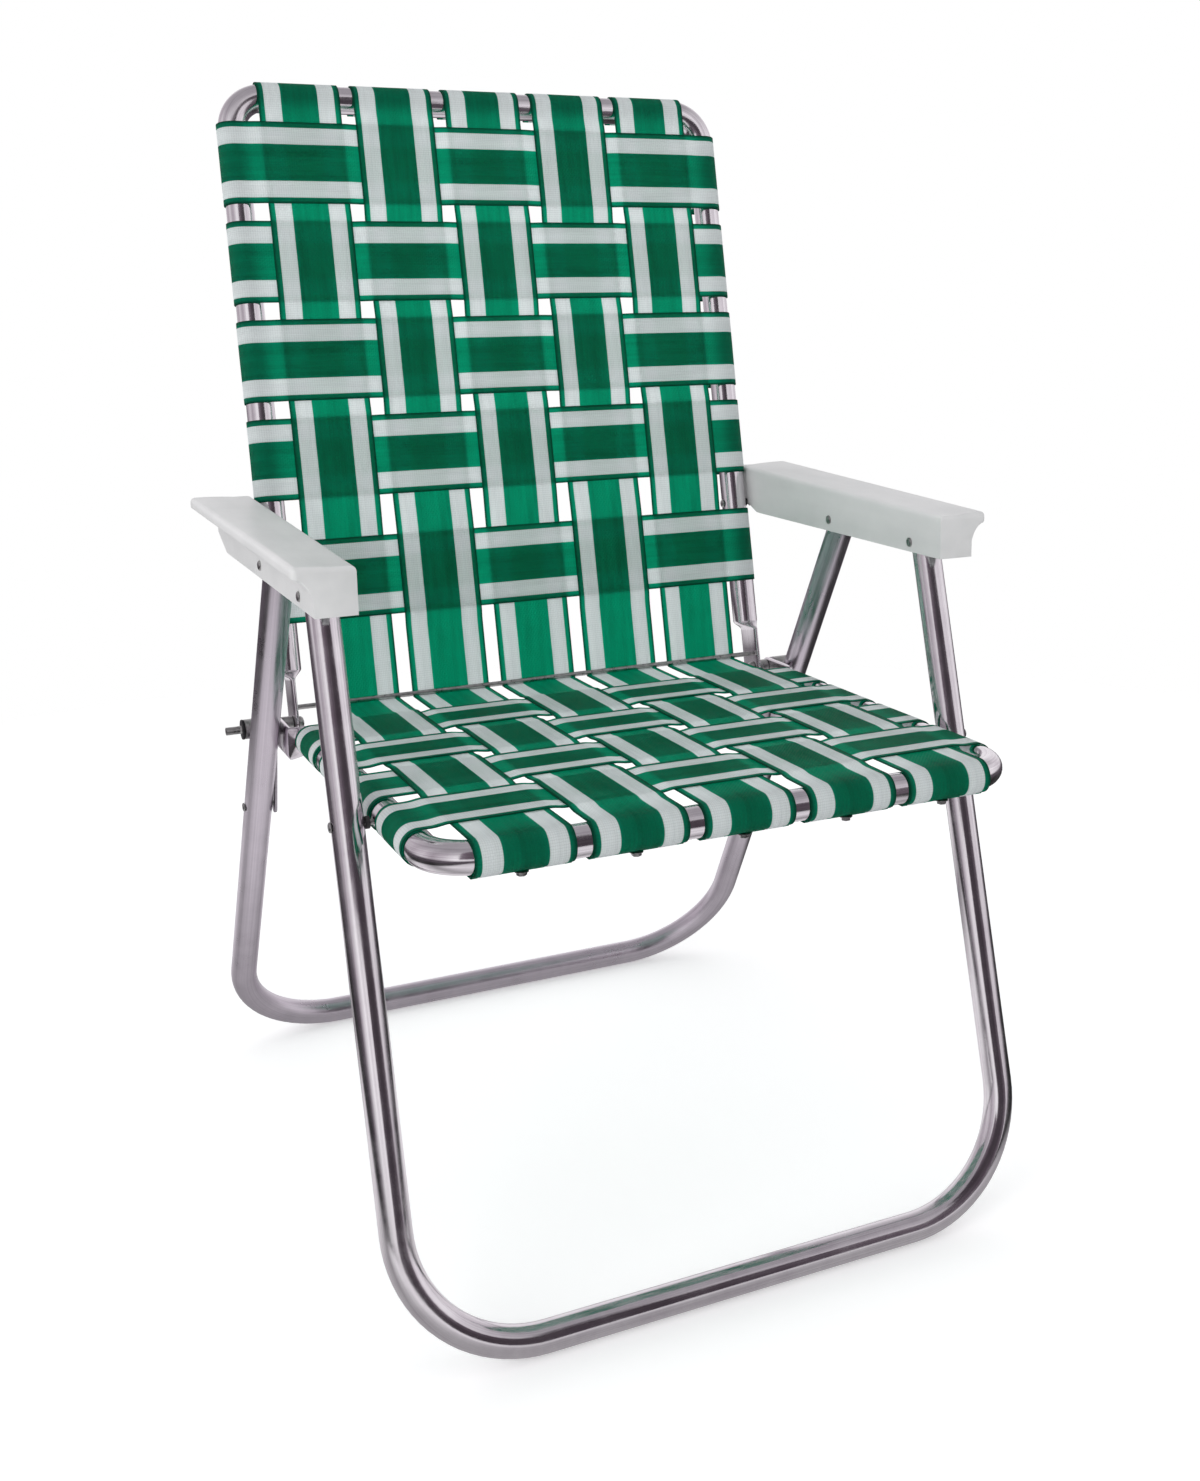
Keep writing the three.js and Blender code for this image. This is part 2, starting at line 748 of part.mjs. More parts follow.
// Arms
const rightArm = armGeometry();
addPiece(armGroup, 'arm_right', rightArm, mouldedWhite);
addPiece(armGroup, 'arm_left', mirrored(rightArm), mouldedWhite);

// Hinge stack, from the middle of the chair outwards
const backPlateInnerX = frameHalfWidth - plateThick / 2;
const backPlateOuterX = frameHalfWidth + plateThick / 2;
const seatPlateInnerX = seatPlateX - plateThick / 2;
const stopInnerX = linkOuterX + clearance;
const hingeAlongRearLeg = rearPivot.y / Math.cos(rearLegLean);
const stopOuterX = splayAt(hingeAlongRearLeg) + tubeRadius + stopOverlap;
const washerInnerX = stopOuterX + clearance;
const boltHeadX = backPlateInnerX - clearance;
const boltEndX = washerInnerX + washerThick + boltEndReach;
addPair(hingeGroup, 'hinge_bolt', turnedPin([
  [0, boltHeadX - boltHeadThick],
  [boltHeadRadius - boltPoint, boltHeadX - boltHeadThick],
  [boltHeadRadius, boltHeadX - boltHeadThick + boltPoint],
  [boltHeadRadius, boltHeadX],
  [boltRadius, boltHeadX],
  [boltRadius, boltEndX - boltPoint],
  [boltRadius - boltPoint, boltEndX],
  [0, boltEndX],
]), zinc);
const boltBore = boreRadius(boltRadius);
const bushFrom = backPlateOuterX + clearance;
const bushTo = seatPlateInnerX - clearance;
addPair(hingeGroup, 'hinge_bush', ringGeometry(bushRadius, boltBore, bushFrom, bushTo), zinc);
addPair(hingeGroup, 'leg_stop', ringGeometry(stopRadius, boltBore, stopInnerX, stopOuterX), zinc);
const washerTo = washerInnerX + washerThick;
addPair(hingeGroup, 'hinge_washer', ringGeometry(washerRadius, boltBore, washerInnerX, washerTo), blackFinish);

// Crease rod, fixed between the flattened ends of the back
const rodSetback = backTubeSetback - webCentre - webThick / 2 - clearance - rodRadius;
const rodHalfLength = backPlateInnerX - clearance;
const rod = addPiece(backGroup, 'crease_rod', turnedPin([
  [0, -rodHalfLength],
  [rodRadius, -rodHalfLength],
  [rodRadius, rodHalfLength],
  [0, rodHalfLength],
]), zinc);
rod.position.set(0, rodSetback, rodHeight);

// Brace links
for (const side of [-1, 1]) {
  const name = side < 0 ? 'brace_link_left' : 'brace_link_right';
  const link = addPiece(linkGroup, name, linkGeometry(), dullAluminium);
  link.position.x = side < 0 ? -linkOuterX : linkInnerX;
}

// Rivets, each from the first to the last face that it holds
const armGripFrom = armInnerX - clearance;
const armGripTo = armOuterX + clearance;
addPair(frontLegGroup, 'front_leg_rivet', rivetGeometry(armGripFrom, armGripTo), zinc);
addPair(rearLegGroup, 'rear_leg_rivet', rivetGeometry(armGripFrom, armGripTo), zinc);
const backGripFrom = frameHalfWidth - tubeRadius - clearance;
const backGripTo = armInnerX + armWall + clearance;
const backRivet = rivetGeometry(backGripFrom, backGripTo);
addPair(backGroup, 'back_arm_rivet', backRivet, zinc, backTubeSetback, backPivotAlong);
const spacerFrom = frameHalfWidth + tubeRadius + clearance;
const shoulderTo = armInnerX - clearance;
const backSpacer = ringGeometry(rivetHeadRadius, boreRadius(rivetRadius), spacerFrom, shoulderTo);
addPair(backGroup, 'back_arm_spacer', backSpacer, blackFinish, backTubeSetback, backPivotAlong);
const seatGripTo = legHalfWidth + tubeRadius + clearance;
const seatRivet = rivetGeometry(backGripFrom, seatGripTo);
addPair(seatGroup, 'seat_pivot_rivet', seatRivet, zinc, -seatPivotReach, -seatPivotDrop);
const seatSpacerFrom = wrapReach + clearance;
const seatSpacerTo = legInnerX - clearance;
const seatSpacer = ringGeometry(spacerRadius, boreRadius(rivetRadius), seatSpacerFrom, seatSpacerTo);
addPair(seatGroup, 'seat_pivot_spacer', seatSpacer, blackFinish, -seatPivotReach, -seatPivotDrop);

// The brace rivet stops short of the link, whose lower end slides past it
const braceGripTo = splayAt(bracePivotAlong) + tubeRadius + clearance;
const braceCrown = rivetHeadThick / 2;
addPair(rearLegGroup, 'brace_rivet', turnedPin([
  [0, linkOuterX + clearance],
  [rivetRadius, linkOuterX + clearance],
  [rivetRadius, braceGripTo],
  [rivetHeadRadius, braceGripTo],
  [rivetHeadRadius, braceGripTo + braceCrown],
  [rivetHeadRadius - braceCrown, braceGripTo + rivetHeadThick],
  [0, braceGripTo + rivetHeadThick],
]), zinc, 0, -bracePivotAlong);

// Webbing
for (let column = 0; column < columns; column += 1) {
  const label = column + 1;
  addPiece(backGroup, `back_long_strap_${label}`, backColumnGeometry(column), greenWebbing);
  addPiece(seatGroup, `seat_long_strap_${label}`, seatColumnGeometry(column), greenWebbing);
  addPiece(hingeGroup, `crease_strap_${label}`, creaseGeometry(column), greenWebbing);
}
for (let row = 0; row < backRowPlaces.length; row += 1) {
  addPiece(backGroup, `back_cross_strap_${row + 1}`, backCrossGeometry(row), greenWebbing);
}
for (let row = 0; row < seatRowPlaces.length; row += 1) {
  addPiece(seatGroup, `seat_cross_strap_${row + 1}`, seatCrossGeometry(row), greenWebbing);
}

const model = new THREE.Group();
model.add(chair);
export default model;
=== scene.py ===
# %% [markdown]
# A folding lawn chair: bent aluminium tubes, two moulded arms and a seat and back of woven
# webbing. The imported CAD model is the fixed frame. Each of its pieces is faceted, so every one
# is dressed here with a smooth piece in the same place, that rides on the same body.

# %% Load the frame
import math

import bpy
import numpy as np
from mathutils import Matrix, Vector


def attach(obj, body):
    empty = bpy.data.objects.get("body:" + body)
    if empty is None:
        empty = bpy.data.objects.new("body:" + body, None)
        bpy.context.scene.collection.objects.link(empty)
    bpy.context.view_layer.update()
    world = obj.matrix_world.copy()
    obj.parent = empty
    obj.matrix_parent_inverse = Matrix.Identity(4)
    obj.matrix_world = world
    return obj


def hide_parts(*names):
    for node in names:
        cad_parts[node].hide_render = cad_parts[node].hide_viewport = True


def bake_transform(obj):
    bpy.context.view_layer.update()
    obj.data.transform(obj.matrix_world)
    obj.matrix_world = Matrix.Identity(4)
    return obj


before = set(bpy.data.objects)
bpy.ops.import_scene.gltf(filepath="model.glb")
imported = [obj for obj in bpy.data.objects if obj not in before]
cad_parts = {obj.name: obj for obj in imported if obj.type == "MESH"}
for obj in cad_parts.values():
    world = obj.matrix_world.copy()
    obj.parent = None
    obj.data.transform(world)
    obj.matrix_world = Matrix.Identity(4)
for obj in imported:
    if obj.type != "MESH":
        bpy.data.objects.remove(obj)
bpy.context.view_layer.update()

MM = 0.001

# %% [markdown]
# A leaning frame is a flat U, turned about the pivot it hangs from. So each frame gets a matrix,
# and every point is worked out flat before the matrix carries it to its place.

# %% Places and leans of the frames
HINGE = Vector((0, 126.851, 401)) * MM
ARM_FRONT_PIVOT = Vector((0, -156.694, 577.474)) * MM
ARM_REAR_PIVOT = Vector((0, -6.194, 576.474)) * MM
SEAT_PIVOT = Vector((0, -206.386, 408.634)) * MM
BACK_PIVOT = Vector((0, 176.543, 569.839)) * MM
BRACE_PIVOT = Vector((0, 150.969, 319)) * MM
FRONT_LEAN, REAR_LEAN = -16.4, 31.4


def leaning(place, degrees):
    return Matrix.Translation(place) @ Matrix.Rotation(math.radians(degrees), 4, "X")


def direction(place, x, y, z):
    """A direction that is given in the axes of a leaning frame."""
    return (place.to_3x3() @ Vector((x, y, z))).normalized()


BACK = leaning(HINGE, -12)
SEAT = leaning(HINGE, -2)
FRONT_LEGS = leaning(ARM_FRONT_PIVOT, FRONT_LEAN)
REAR_LEGS = leaning(ARM_REAR_PIVOT, REAR_LEAN)
BACK_UP = direction(BACK, 0, 0, 1)
BACK_AWAY = direction(BACK, 0, 1, 0)
SEAT_FORWARD = direction(SEAT, 0, -1, 0)
SEAT_AWAY = direction(SEAT, 0, 0, -1)

# %% Main sizes
GAP = 0.3 * MM
TUBE_RADIUS = 12.7 * MM
TUBE_WALL = 1.25 * MM
FRAME_HALF = 239 * MM
LEG_HALF = 270 * MM
REAR_SPLAY = 7 * MM
BACK_SETBACK = 13.503 * MM
SEAT_DROP = 1.8 * MM
BACK_LENGTH = 586 * MM
SEAT_LENGTH = 463.7 * MM
print("hinge", tuple(round(v, 4) for v in HINGE), "tube", round(2 * TUBE_RADIUS, 4), "m across")

# %% [markdown]
# Every long piece, tube or strap or pin, is one skin over a row of rings. A single helper joins
# the rings with faces and lays out a map whose second axis is the true length in metres. The
# drawing lines and the weave read that map, so they follow each bend.

# %% The ring skin
SIDES = ((-1, "left"), (1, "right"))


def to_object(name, mesh):
    piece = bpy.data.objects.new(name, mesh)
    bpy.context.scene.collection.objects.link(piece)
    return piece


def dressed(piece, finish, slot, body, *nodes):
    """Gives a piece its finish, the body it rides on and the CAD nodes it stands for."""
    piece.data.materials.append(finish)
    if body:
        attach(piece, body)
    if nodes:
        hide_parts(*nodes)
    return piece


def smooth(mesh, degrees=40):
    mesh.shade_smooth()
    mesh.set_sharp_from_angle(angle=math.radians(degrees))
    return mesh


def ring_skin(name, rings, around, lengths, map_name):
    """A closed skin. around: where each point of a ring lies on the map, with one value more to
    close the ring. lengths: where each ring lies on the map."""
    count = len(rings[0])
    faces, spots = [], []
    for i in range(len(rings) - 1):
        for j in range(count):
            k = (j + 1) % count
            faces.append((i * count + j, i * count + k, (i + 1) * count + k, (i + 1) * count + j))
            low, high = around[j], around[j + 1]
            spots += [(low, lengths[i]), (high, lengths[i])]
            spots += [(high, lengths[i + 1]), (low, lengths[i + 1])]
    for i, turn in ((0, -1), (len(rings) - 1, 1)):
        faces.append(tuple(i * count + j for j in range(count))[::turn])
        spots += [(around[j], lengths[i]) for j in range(count)][::turn]
    mesh = bpy.data.meshes.new(name)
    mesh.from_pydata([tuple(p) for ring in rings for p in ring], [], faces)
    layer = mesh.uv_layers.new(name=map_name)
    layer.data.foreach_set("uv", np.array(spots, np.float32).ravel())
    mesh.validate()
    return to_object(name, smooth(mesh))


def running_length(points):
    lengths = [0.0]
    for a, b in zip(points, points[1:]):
        lengths.append(lengths[-1] + (b - a).length)
    return lengths


def angles(count):
    return [2 * math.pi * i / count for i in range(count)]


def shares(count):
    return [i / count for i in range(count + 1)]


def eased(share):
    """From 0 to 1 with a soft start and a soft end."""
    return share * share * (3 - 2 * share)


print("a soft step at a quarter:", eased(0.25))

# %% [markdown]
# The frames are 1 inch aluminium tube, drawn and then polished, and the rear legs are left
# duller. Drawn tube carries fine lines along its length. A noise that is stretched along the
# length map gives lines that never repeat.

# %% Helpers for finishes
def finish_tree(name):
    finish = bpy.data.materials.new(name)
    finish.use_nodes = True
    return finish, finish.node_tree, finish.node_tree.nodes["Principled BSDF"]


def feed(tree, node, inputs):
    """Sets inputs of a node, each to a value or to the output of another node."""
    for key, value in inputs.items():
        if isinstance(value, bpy.types.NodeSocket):
            tree.links.new(value, node.inputs[key])
        else:
            node.inputs[key].default_value = value


def add(tree, kind, inputs=None, **settings):
    made = tree.nodes.new(kind)
    for key, value in settings.items():
        setattr(made, key, value)
    feed(tree, made, inputs or {})
    return made


def maths(tree, operation, *values):
    return add(tree, "ShaderNodeMath", dict(enumerate(values)), operation=operation).outputs[0]


def times(tree, first, second):
    return maths(tree, "MULTIPLY", first, second)


def remap(tree, value, low, high, to_low=0.0, to_high=1.0):
    inputs = {"Value": value, "From Min": low, "From Max": high, "To Min": to_low, "To Max": to_high}
    return add(tree, "ShaderNodeMapRange", inputs).outputs["Result"]


def blend_colour(tree, share, first, second):
    inputs = {"Factor": share, "A": first, "B": second}
    return add(tree, "ShaderNodeMix", inputs, data_type="RGBA").outputs["Result"]


def noise(tree, vector, scale, detail, roughness):
    inputs = {"Vector": vector, "Scale": scale, "Detail": detail, "Roughness": roughness}
    return add(tree, "ShaderNodeTexNoise", inputs).outputs["Fac"]


def stretched(tree, source, scale):
    return add(tree, "ShaderNodeMapping", {"Vector": source, "Scale": scale}).outputs["Vector"]


def bump(tree, height, strength, distance):
    inputs = {"Strength": strength, "Distance": distance, "Height": height}
    return add(tree, "ShaderNodeBump", inputs).outputs["Normal"]


def weighed(tree, *parts):
    """The sum of (value, weight) pairs."""
    total = None
    for value, weight in parts:
        share = times(tree, value, weight)
        total = share if total is None else maths(tree, "ADD", total, share)
    return total


def surface(tree, shader_output):
    tree.links.new(shader_output, tree.nodes["Material Output"].inputs["Surface"])


# %% Finish: drawn aluminium
TUBE_MAP = "Along"
LINE_STRETCH = (60, 3, 1)
SMUDGE_SCALE = 38.0
SPECK_SCALE = 420.0
PIT_EDGE = (0.72, 0.80)


def aluminium_finish(name, pale, dark, smoothest, roughest):
    finish, tree, shader = finish_tree(name)
    where = add(tree, "ShaderNodeUVMap", uv_map=TUBE_MAP).outputs["UV"]
    place = add(tree, "ShaderNodeTexCoord").outputs["Object"]
    lines = noise(tree, stretched(tree, where, LINE_STRETCH), 1.0, 4.0, 0.6)
    smudges = noise(tree, place, SMUDGE_SCALE, 4.0, 0.6)
    specks = noise(tree, place, SPECK_SCALE, 2.0, 0.7)
    tone = weighed(tree, (lines, 0.6), (smudges, 0.4))
    colour = blend_colour(tree, remap(tree, tone, 0.35, 0.65), dark, pale)
    pits = remap(tree, specks, *PIT_EDGE)
    height = maths(tree, "ADD", lines, times(tree, specks, 0.25))
    feed(tree, shader, {
        "Base Color": blend_colour(tree, pits, colour, dark), "Metallic": 1.0,
        "Roughness": remap(tree, smudges, 0.35, 0.7, smoothest, roughest),
        "Normal": bump(tree, height, 0.12, 0.00025)})
    return finish


polished = aluminium_finish("polished_tube", pale=(0.88, 0.86, 0.88, 1), dark=(0.66, 0.62, 0.66, 1),
                            smoothest=0.10, roughest=0.20)
dull = aluminium_finish("dull_tube", pale=(0.76, 0.71, 0.77, 1), dark=(0.56, 0.52, 0.57, 1),
                        smoothest=0.26, roughest=0.40)
print("finishes:", polished.name, dull.name)

# %% [markdown]
# A leg loop is one tube bent twice into a U. The ends of the seat and back tubes are pressed
# flat for the hinge bolt, so each tube is swept ring by ring along its own centre line, and a
# ring near an end may change shape.

# %% Centre line of a bent U
TUBE_SIDES = 40
BEND_STEPS = 20
STRAIGHT_STEP = 30 * MM


def u_line(end_half, bar_half, start, length, bend, end_places=None):
    """Points and directions in the plane of the U: x across and z towards the cross bar."""
    end_places = end_places or [start]
    ends = [Vector((side * end_half, 0, start)) for side in (-1, 1)]
    bars = [Vector((side * bar_half, 0, length)) for side in (-1, 1)]
    across = Vector((1, 0, 0))
    rise = (bars[0] - ends[0]).normalized()
    fall = (ends[1] - bars[1]).normalized()
    reach = bend * math.tan(rise.angle(across) / 2)
    line = [(ends[0] + rise * (place - start), rise) for place in end_places]

    def straight(b):
        a = line[-1][0]
        steps = max(2, round((b - a).length / STRAIGHT_STEP))
        line.extend((a.lerp(b, i / steps), (b - a).normalized()) for i in range(1, steps))

    def corner(before, at, after):
        into, out = (at - before).normalized(), (after - at).normalized()
        turn = into.angle(out)
        begin = at - into * bend * math.tan(turn / 2)
        inward = (out - into * into.dot(out)).normalized()
        for share in shares(BEND_STEPS):
            angle = turn * share
            spot = begin + into * bend * math.sin(angle) + inward * bend * (1 - math.cos(angle))
            line.append((spot, into * math.cos(angle) + inward * math.sin(angle)))

    straight(bars[0] - rise * reach)
    corner(ends[0], bars[0], bars[1])
    straight(bars[1] - across * reach)
    corner(bars[0], bars[1], ends[1])
    straight(ends[1] - fall * (end_places[-1] - start))
    return line + [(ends[1] - fall * (place - start), fall) for place in reversed(end_places)]


def circle(radius, spot, along):
    """A ring round a line that lies in the xz plane."""
    over = Vector((0, 1, 0))
    out = along.cross(over)
    return [spot + out * radius * math.cos(a) + over * radius * math.sin(a) for a in angles(TUBE_SIDES)]


print("rings have", TUBE_SIDES, "points, and a bend has", BEND_STEPS + 1, "rings")

# %% Leg loops
LEG_TOP_RISE = 12 * MM
LEG_BEND = 105 * MM
MOUTH_DEPTH = 30 * MM
RIM_ROUND = 0.35 * MM


def open_end(spot, along, inside):
    """Rings for an open tube mouth: down the bore, over the rim and on to the outside."""
    bore = TUBE_RADIUS - TUBE_WALL
    rows = [(bore, MOUTH_DEPTH), (bore, RIM_ROUND), (bore + RIM_ROUND, 0),
            (TUBE_RADIUS - RIM_ROUND, 0), (TUBE_RADIUS, RIM_ROUND)]
    return [circle(radius, spot + along * inside * depth, along) for radius, depth in rows]


def leg_loop(end, place, bar_half, length, finish, slot):
    line = u_line(LEG_HALF, bar_half, -LEG_TOP_RISE, length, LEG_BEND)
    rings = open_end(line[0][0], line[0][1], 1)
    rings += [circle(TUBE_RADIUS, spot, along) for spot, along in line[1:-1]]
    rings += open_end(line[-1][0], line[-1][1], -1)[::-1]
    hang = place @ Matrix.Rotation(math.pi, 4, "X")
    rings = [[hang @ p for p in ring] for ring in rings]
    middles = [sum(ring, Vector()) / len(ring) for ring in rings]
    piece = ring_skin(f"{end}_leg_loop", rings, shares(TUBE_SIDES), running_length(middles), TUBE_MAP)
    return dressed(piece, finish, slot, f"{end}_legs", f"{end}_leg_frame")


def down_leg(pivot, height, degrees):
    """The way along a leaning leg from its pivot down to a height."""
    return (pivot.z - height) / math.cos(math.radians(degrees))


FRONT_LENGTH = down_leg(ARM_FRONT_PIVOT, TUBE_RADIUS, FRONT_LEAN)
REAR_LENGTH = down_leg(ARM_REAR_PIVOT, TUBE_RADIUS, REAR_LEAN)
front_loop = leg_loop("front", FRONT_LEGS, LEG_HALF, FRONT_LENGTH, polished, "aluminium")
rear_loop = leg_loop("rear", REAR_LEGS, LEG_HALF + REAR_SPLAY, REAR_LENGTH, dull, "dull_aluminium")
print("leg loops:", len(front_loop.data.polygons), len(rear_loop.data.polygons), "faces")

# %% [markdown]
# The seat and back tubes end in flat plates at the hinge. On the real chair a press squeezes
# the round tube until its walls meet, so the plate is wider than the tube and has soft edges.
# Here the ring turns from a circle into a squarish oval.

# %% Seat and back tubes with pressed ends
PLATE_HALF_THICK = 2.3 * MM
PLATE_TAIL = 13 * MM
PLATE_SQUARE = 0.55
TAIL_SHARE = 0.985
TAIL_ANGLES = (90, 75, 60, 45, 30, 15)
TAPER_STEPS = 8


def squared(share):
    """Bulges a circle's coordinate towards that of a square with round corners."""
    return math.copysign(abs(share) ** PLATE_SQUARE, share)


def pressed(line, flat_to, round_from, wide, outward, rearward):
    rings = []
    for spot, along in line:
        ring = circle(TUBE_RADIUS, spot, along)
        share = eased(min(max((round_from - spot.z) / (round_from - flat_to), 0), 1))
        if share > 0:
            side = math.copysign(1, spot.x)
            tail = min(spot.z, 0) / PLATE_TAIL
            half_wide = wide / 2 * math.sqrt(max(1 - (TAIL_SHARE * tail) ** 2, 0))
            for i, p in enumerate(ring):
                off = abs(p.x) - FRAME_HALF
                x = outward + squared(off / TUBE_RADIUS) * PLATE_HALF_THICK
                y = rearward + squared(p.y / TUBE_RADIUS) * half_wide
                x = FRAME_HALF + off * (1 - share) + x * share
                ring[i] = Vector((side * x, p.y * (1 - share) + y * share, p.z))
        rings.append(ring)
    return rings


def end_places(flat_to, round_from):
    """Where the rings of a pressed end lie: its round tail, its flat part and its taper."""
    tail = [-math.sin(math.radians(a)) * PLATE_TAIL for a in TAIL_ANGLES]
    taper = [flat_to + (round_from - flat_to) * share for share in shares(TAPER_STEPS)]
    return tail + [0, flat_to / 2] + taper


def framed_tube(body, place, length, bend, flat_to, round_from, wide, outward, rearward):
    line = u_line(FRAME_HALF, FRAME_HALF, -PLATE_TAIL, length, bend, end_places(flat_to, round_from))
    rings = pressed(line, flat_to, round_from, wide, outward, rearward)
    lengths = running_length([spot for spot, _ in line])
    rings = [[place @ p for p in ring] for ring in rings]
    piece = ring_skin(f"{body}_tube", rings, shares(TUBE_SIDES), lengths, TUBE_MAP)
    return dressed(piece, polished, "aluminium", body, f"{body}_frame")


LEG_INNER = LEG_HALF - TUBE_RADIUS
SEAT_PLATE_X = LEG_INNER - GAP - PLATE_HALF_THICK
back_place = BACK @ Matrix.Translation((0, BACK_SETBACK, 0))
seat_place = SEAT @ Matrix.Translation((0, 0, -SEAT_DROP)) @ Matrix.Rotation(math.pi / 2, 4, "X")
back_tube = framed_tube("back", back_place, length=BACK_LENGTH, bend=32 * MM, flat_to=40 * MM,
                        round_from=50 * MM, wide=36 * MM, outward=0, rearward=-8 * MM)
seat_tube = framed_tube("seat", seat_place, length=SEAT_LENGTH, bend=38 * MM, flat_to=52 * MM,
                        round_from=62 * MM, wide=30 * MM, outward=SEAT_PLATE_X - FRAME_HALF, rearward=-4 * MM)
print("tubes:", len(back_tube.data.polygons), len(seat_tube.data.polygons), "faces")

# %% [markdown]
# The webbing is 3 inches wide and about a millimetre thick: stiff plastic yarn woven into a
# band with two pale stripes. It lets light through, so a single layer glows while a crossing
# looks deep green, and its finish mixes a plain surface with one that passes light on. The
# weave is made of waves on the band's own map: cords along it and finer yarn across it.

# %% Finish: woven webbing
CLOTH_MAP = "Cloth"
BAND_WIDTH = 76.2 * MM
CORD_PITCH = 1.65 * MM
PICK_PITCH = 2.1 * MM
PICK_HEIGHT = 0.8
YARN_STRETCH = (640, 26, 1)
PATCH_STRETCH = (30, 16, 1)
STREAK_STRETCH = (170, 5, 1)


def weave_height(tree, across, along):
    """Cords and yarns that take turns on top, as a height from 0 to 1."""
    cords = maths(tree, "SINE", times(tree, across, math.pi / CORD_PITCH))
    picks = maths(tree, "SINE", times(tree, along, math.pi / PICK_PITCH))
    cord_over = maths(tree, "GREATER_THAN", times(tree, cords, picks), 0.0)
    pick_high = times(tree, maths(tree, "ABSOLUTE", picks), PICK_HEIGHT)
    higher = maths(tree, "SUBTRACT", maths(tree, "ABSOLUTE", cords), pick_high)
    return maths(tree, "ADD", times(tree, cord_over, higher), pick_high)


def dimmed(tree, colour, share):
    """A colour times a value."""
    inputs = {0: colour, "Scale": share}
    return add(tree, "ShaderNodeVectorMath", inputs, operation="SCALE").outputs["Vector"]


print("cords of the weave:", round(BAND_WIDTH / CORD_PITCH), "across a band")

# %% The webbing's colours
GREEN_DEEP = (0.0006, 0.112, 0.062, 1)
GREEN_PALE = (0.0012, 0.200, 0.118, 1)
GREEN_LIT = (0.003, 0.82, 0.57, 1)
STRIPE_DEEP = (0.830, 0.870, 0.875, 1)
STRIPE_PALE = (0.930, 0.965, 0.970, 1)
STRIPE_LIT = (0.95, 0.99, 0.985, 1)
# Distances from the band's middle as shares of its width, with the soft edge of each.
STRIPE_INNER = (0.221, 0.228)
STRIPE_OUTER = (0.424, 0.431)
SELVEDGE = (0.468, 0.492)
STRIPE_WANDER = 0.006
# Both dims are painted shade, and the selvedge is also darker in its own colour.
# How dim the selvedge and the valleys of the weave are, and how much light each colour lets by.
SELVEDGE_AND_SHADE_DIM = 0.42
VALLEY_SHADE_DIM = 0.66
GREEN_THROUGH = 0.50
STRIPE_THROUGH = 0.42

webbing, tree, shader = finish_tree("green_webbing")
where = add(tree, "ShaderNodeUVMap", uv_map=CLOTH_MAP).outputs["UV"]
parts = add(tree, "ShaderNodeSeparateXYZ", {"Vector": where})
across, along = parts.outputs["X"], parts.outputs["Y"]
height = weave_height(tree, across, along)

yarn = noise(tree, stretched(tree, where, YARN_STRETCH), 1.0, 3.0, 0.6)
wander = times(tree, maths(tree, "SUBTRACT", yarn, 0.5), STRIPE_WANDER)
centre = maths(tree, "SUBTRACT", maths(tree, "DIVIDE", across, BAND_WIDTH), 0.5)
off_centre = maths(tree, "ABSOLUTE", centre)
wandering = maths(tree, "ADD", off_centre, wander)
inner = remap(tree, wandering, *STRIPE_INNER)
outer = remap(tree, wandering, *STRIPE_OUTER, 1.0, 0.0)
stripe = times(tree, inner, outer)

patches = noise(tree, stretched(tree, where, PATCH_STRETCH), 1.0, 2.0, 0.5)
streaks = noise(tree, stretched(tree, where, STREAK_STRETCH), 1.0, 2.0, 0.5)
shade = weighed(tree, (yarn, 0.40), (patches, 0.25), (streaks, 0.35))
shade = remap(tree, shade, 0.36, 0.64)
green = blend_colour(tree, shade, GREEN_DEEP, GREEN_PALE)
pale = blend_colour(tree, shade, STRIPE_DEEP, STRIPE_PALE)
colour = blend_colour(tree, stripe, green, pale)
# Painted shade: the colour is darkened along the strap's edges, partly the selvedge's own colour, and in the
# weave's valleys.
selvedge_and_edge_shade = remap(tree, off_centre, *SELVEDGE, 1.0, SELVEDGE_AND_SHADE_DIM)
painted_shade_and_selvedge = times(tree, remap(tree, height, 0.0, 0.55, VALLEY_SHADE_DIM, 1.0), selvedge_and_edge_shade)
normal = bump(tree, height, 0.55, 0.0003)
feed(tree, shader, {"Base Color": dimmed(tree, colour, painted_shade_and_selvedge), "Normal": normal,
                    "Roughness": 0.55, "Specular IOR Level": 0.10})

clearness = times(tree, remap(tree, shade, 0.0, 1.0, 0.82, 1.0), selvedge_and_edge_shade)
lit = dimmed(tree, blend_colour(tree, stripe, GREEN_LIT, STRIPE_LIT), clearness)
through = add(tree, "ShaderNodeBsdfTranslucent", {"Normal": normal, "Color": lit})
share = remap(tree, stripe, 0.0, 1.0, GREEN_THROUGH, STRIPE_THROUGH)
mix = add(tree, "ShaderNodeMixShader", {0: share, 1: shader.outputs[0], 2: through.outputs[0]})
surface(tree, mix.outputs[0])
print("finish:", webbing.name)

# %% [markdown]
# A strap is a ribbon along a line. At a crossing it is either on the tube's height or one layer
# higher, and it changes level only in the gap between two crossings. Its ends go round the tube
# and fold under into a hem, which a screw holds on the far side.

# %% The line of a woven strap
WEB_THICK = 1.0 * MM
WEB_OFF = 13.6 * MM
LAYER = 1.5 * MM
HEM_OFF = 14.9 * MM
HEM_BACK = 9.4 * MM
HEM_OVER = 0.5 * MM
WRAP_STEPS = 20
HEM_STEPS = 8
WEAVE_STEP = 3 * MM
LIFT_FADE = 14 * MM
HALF_BAND = BAND_WIDTH / 2


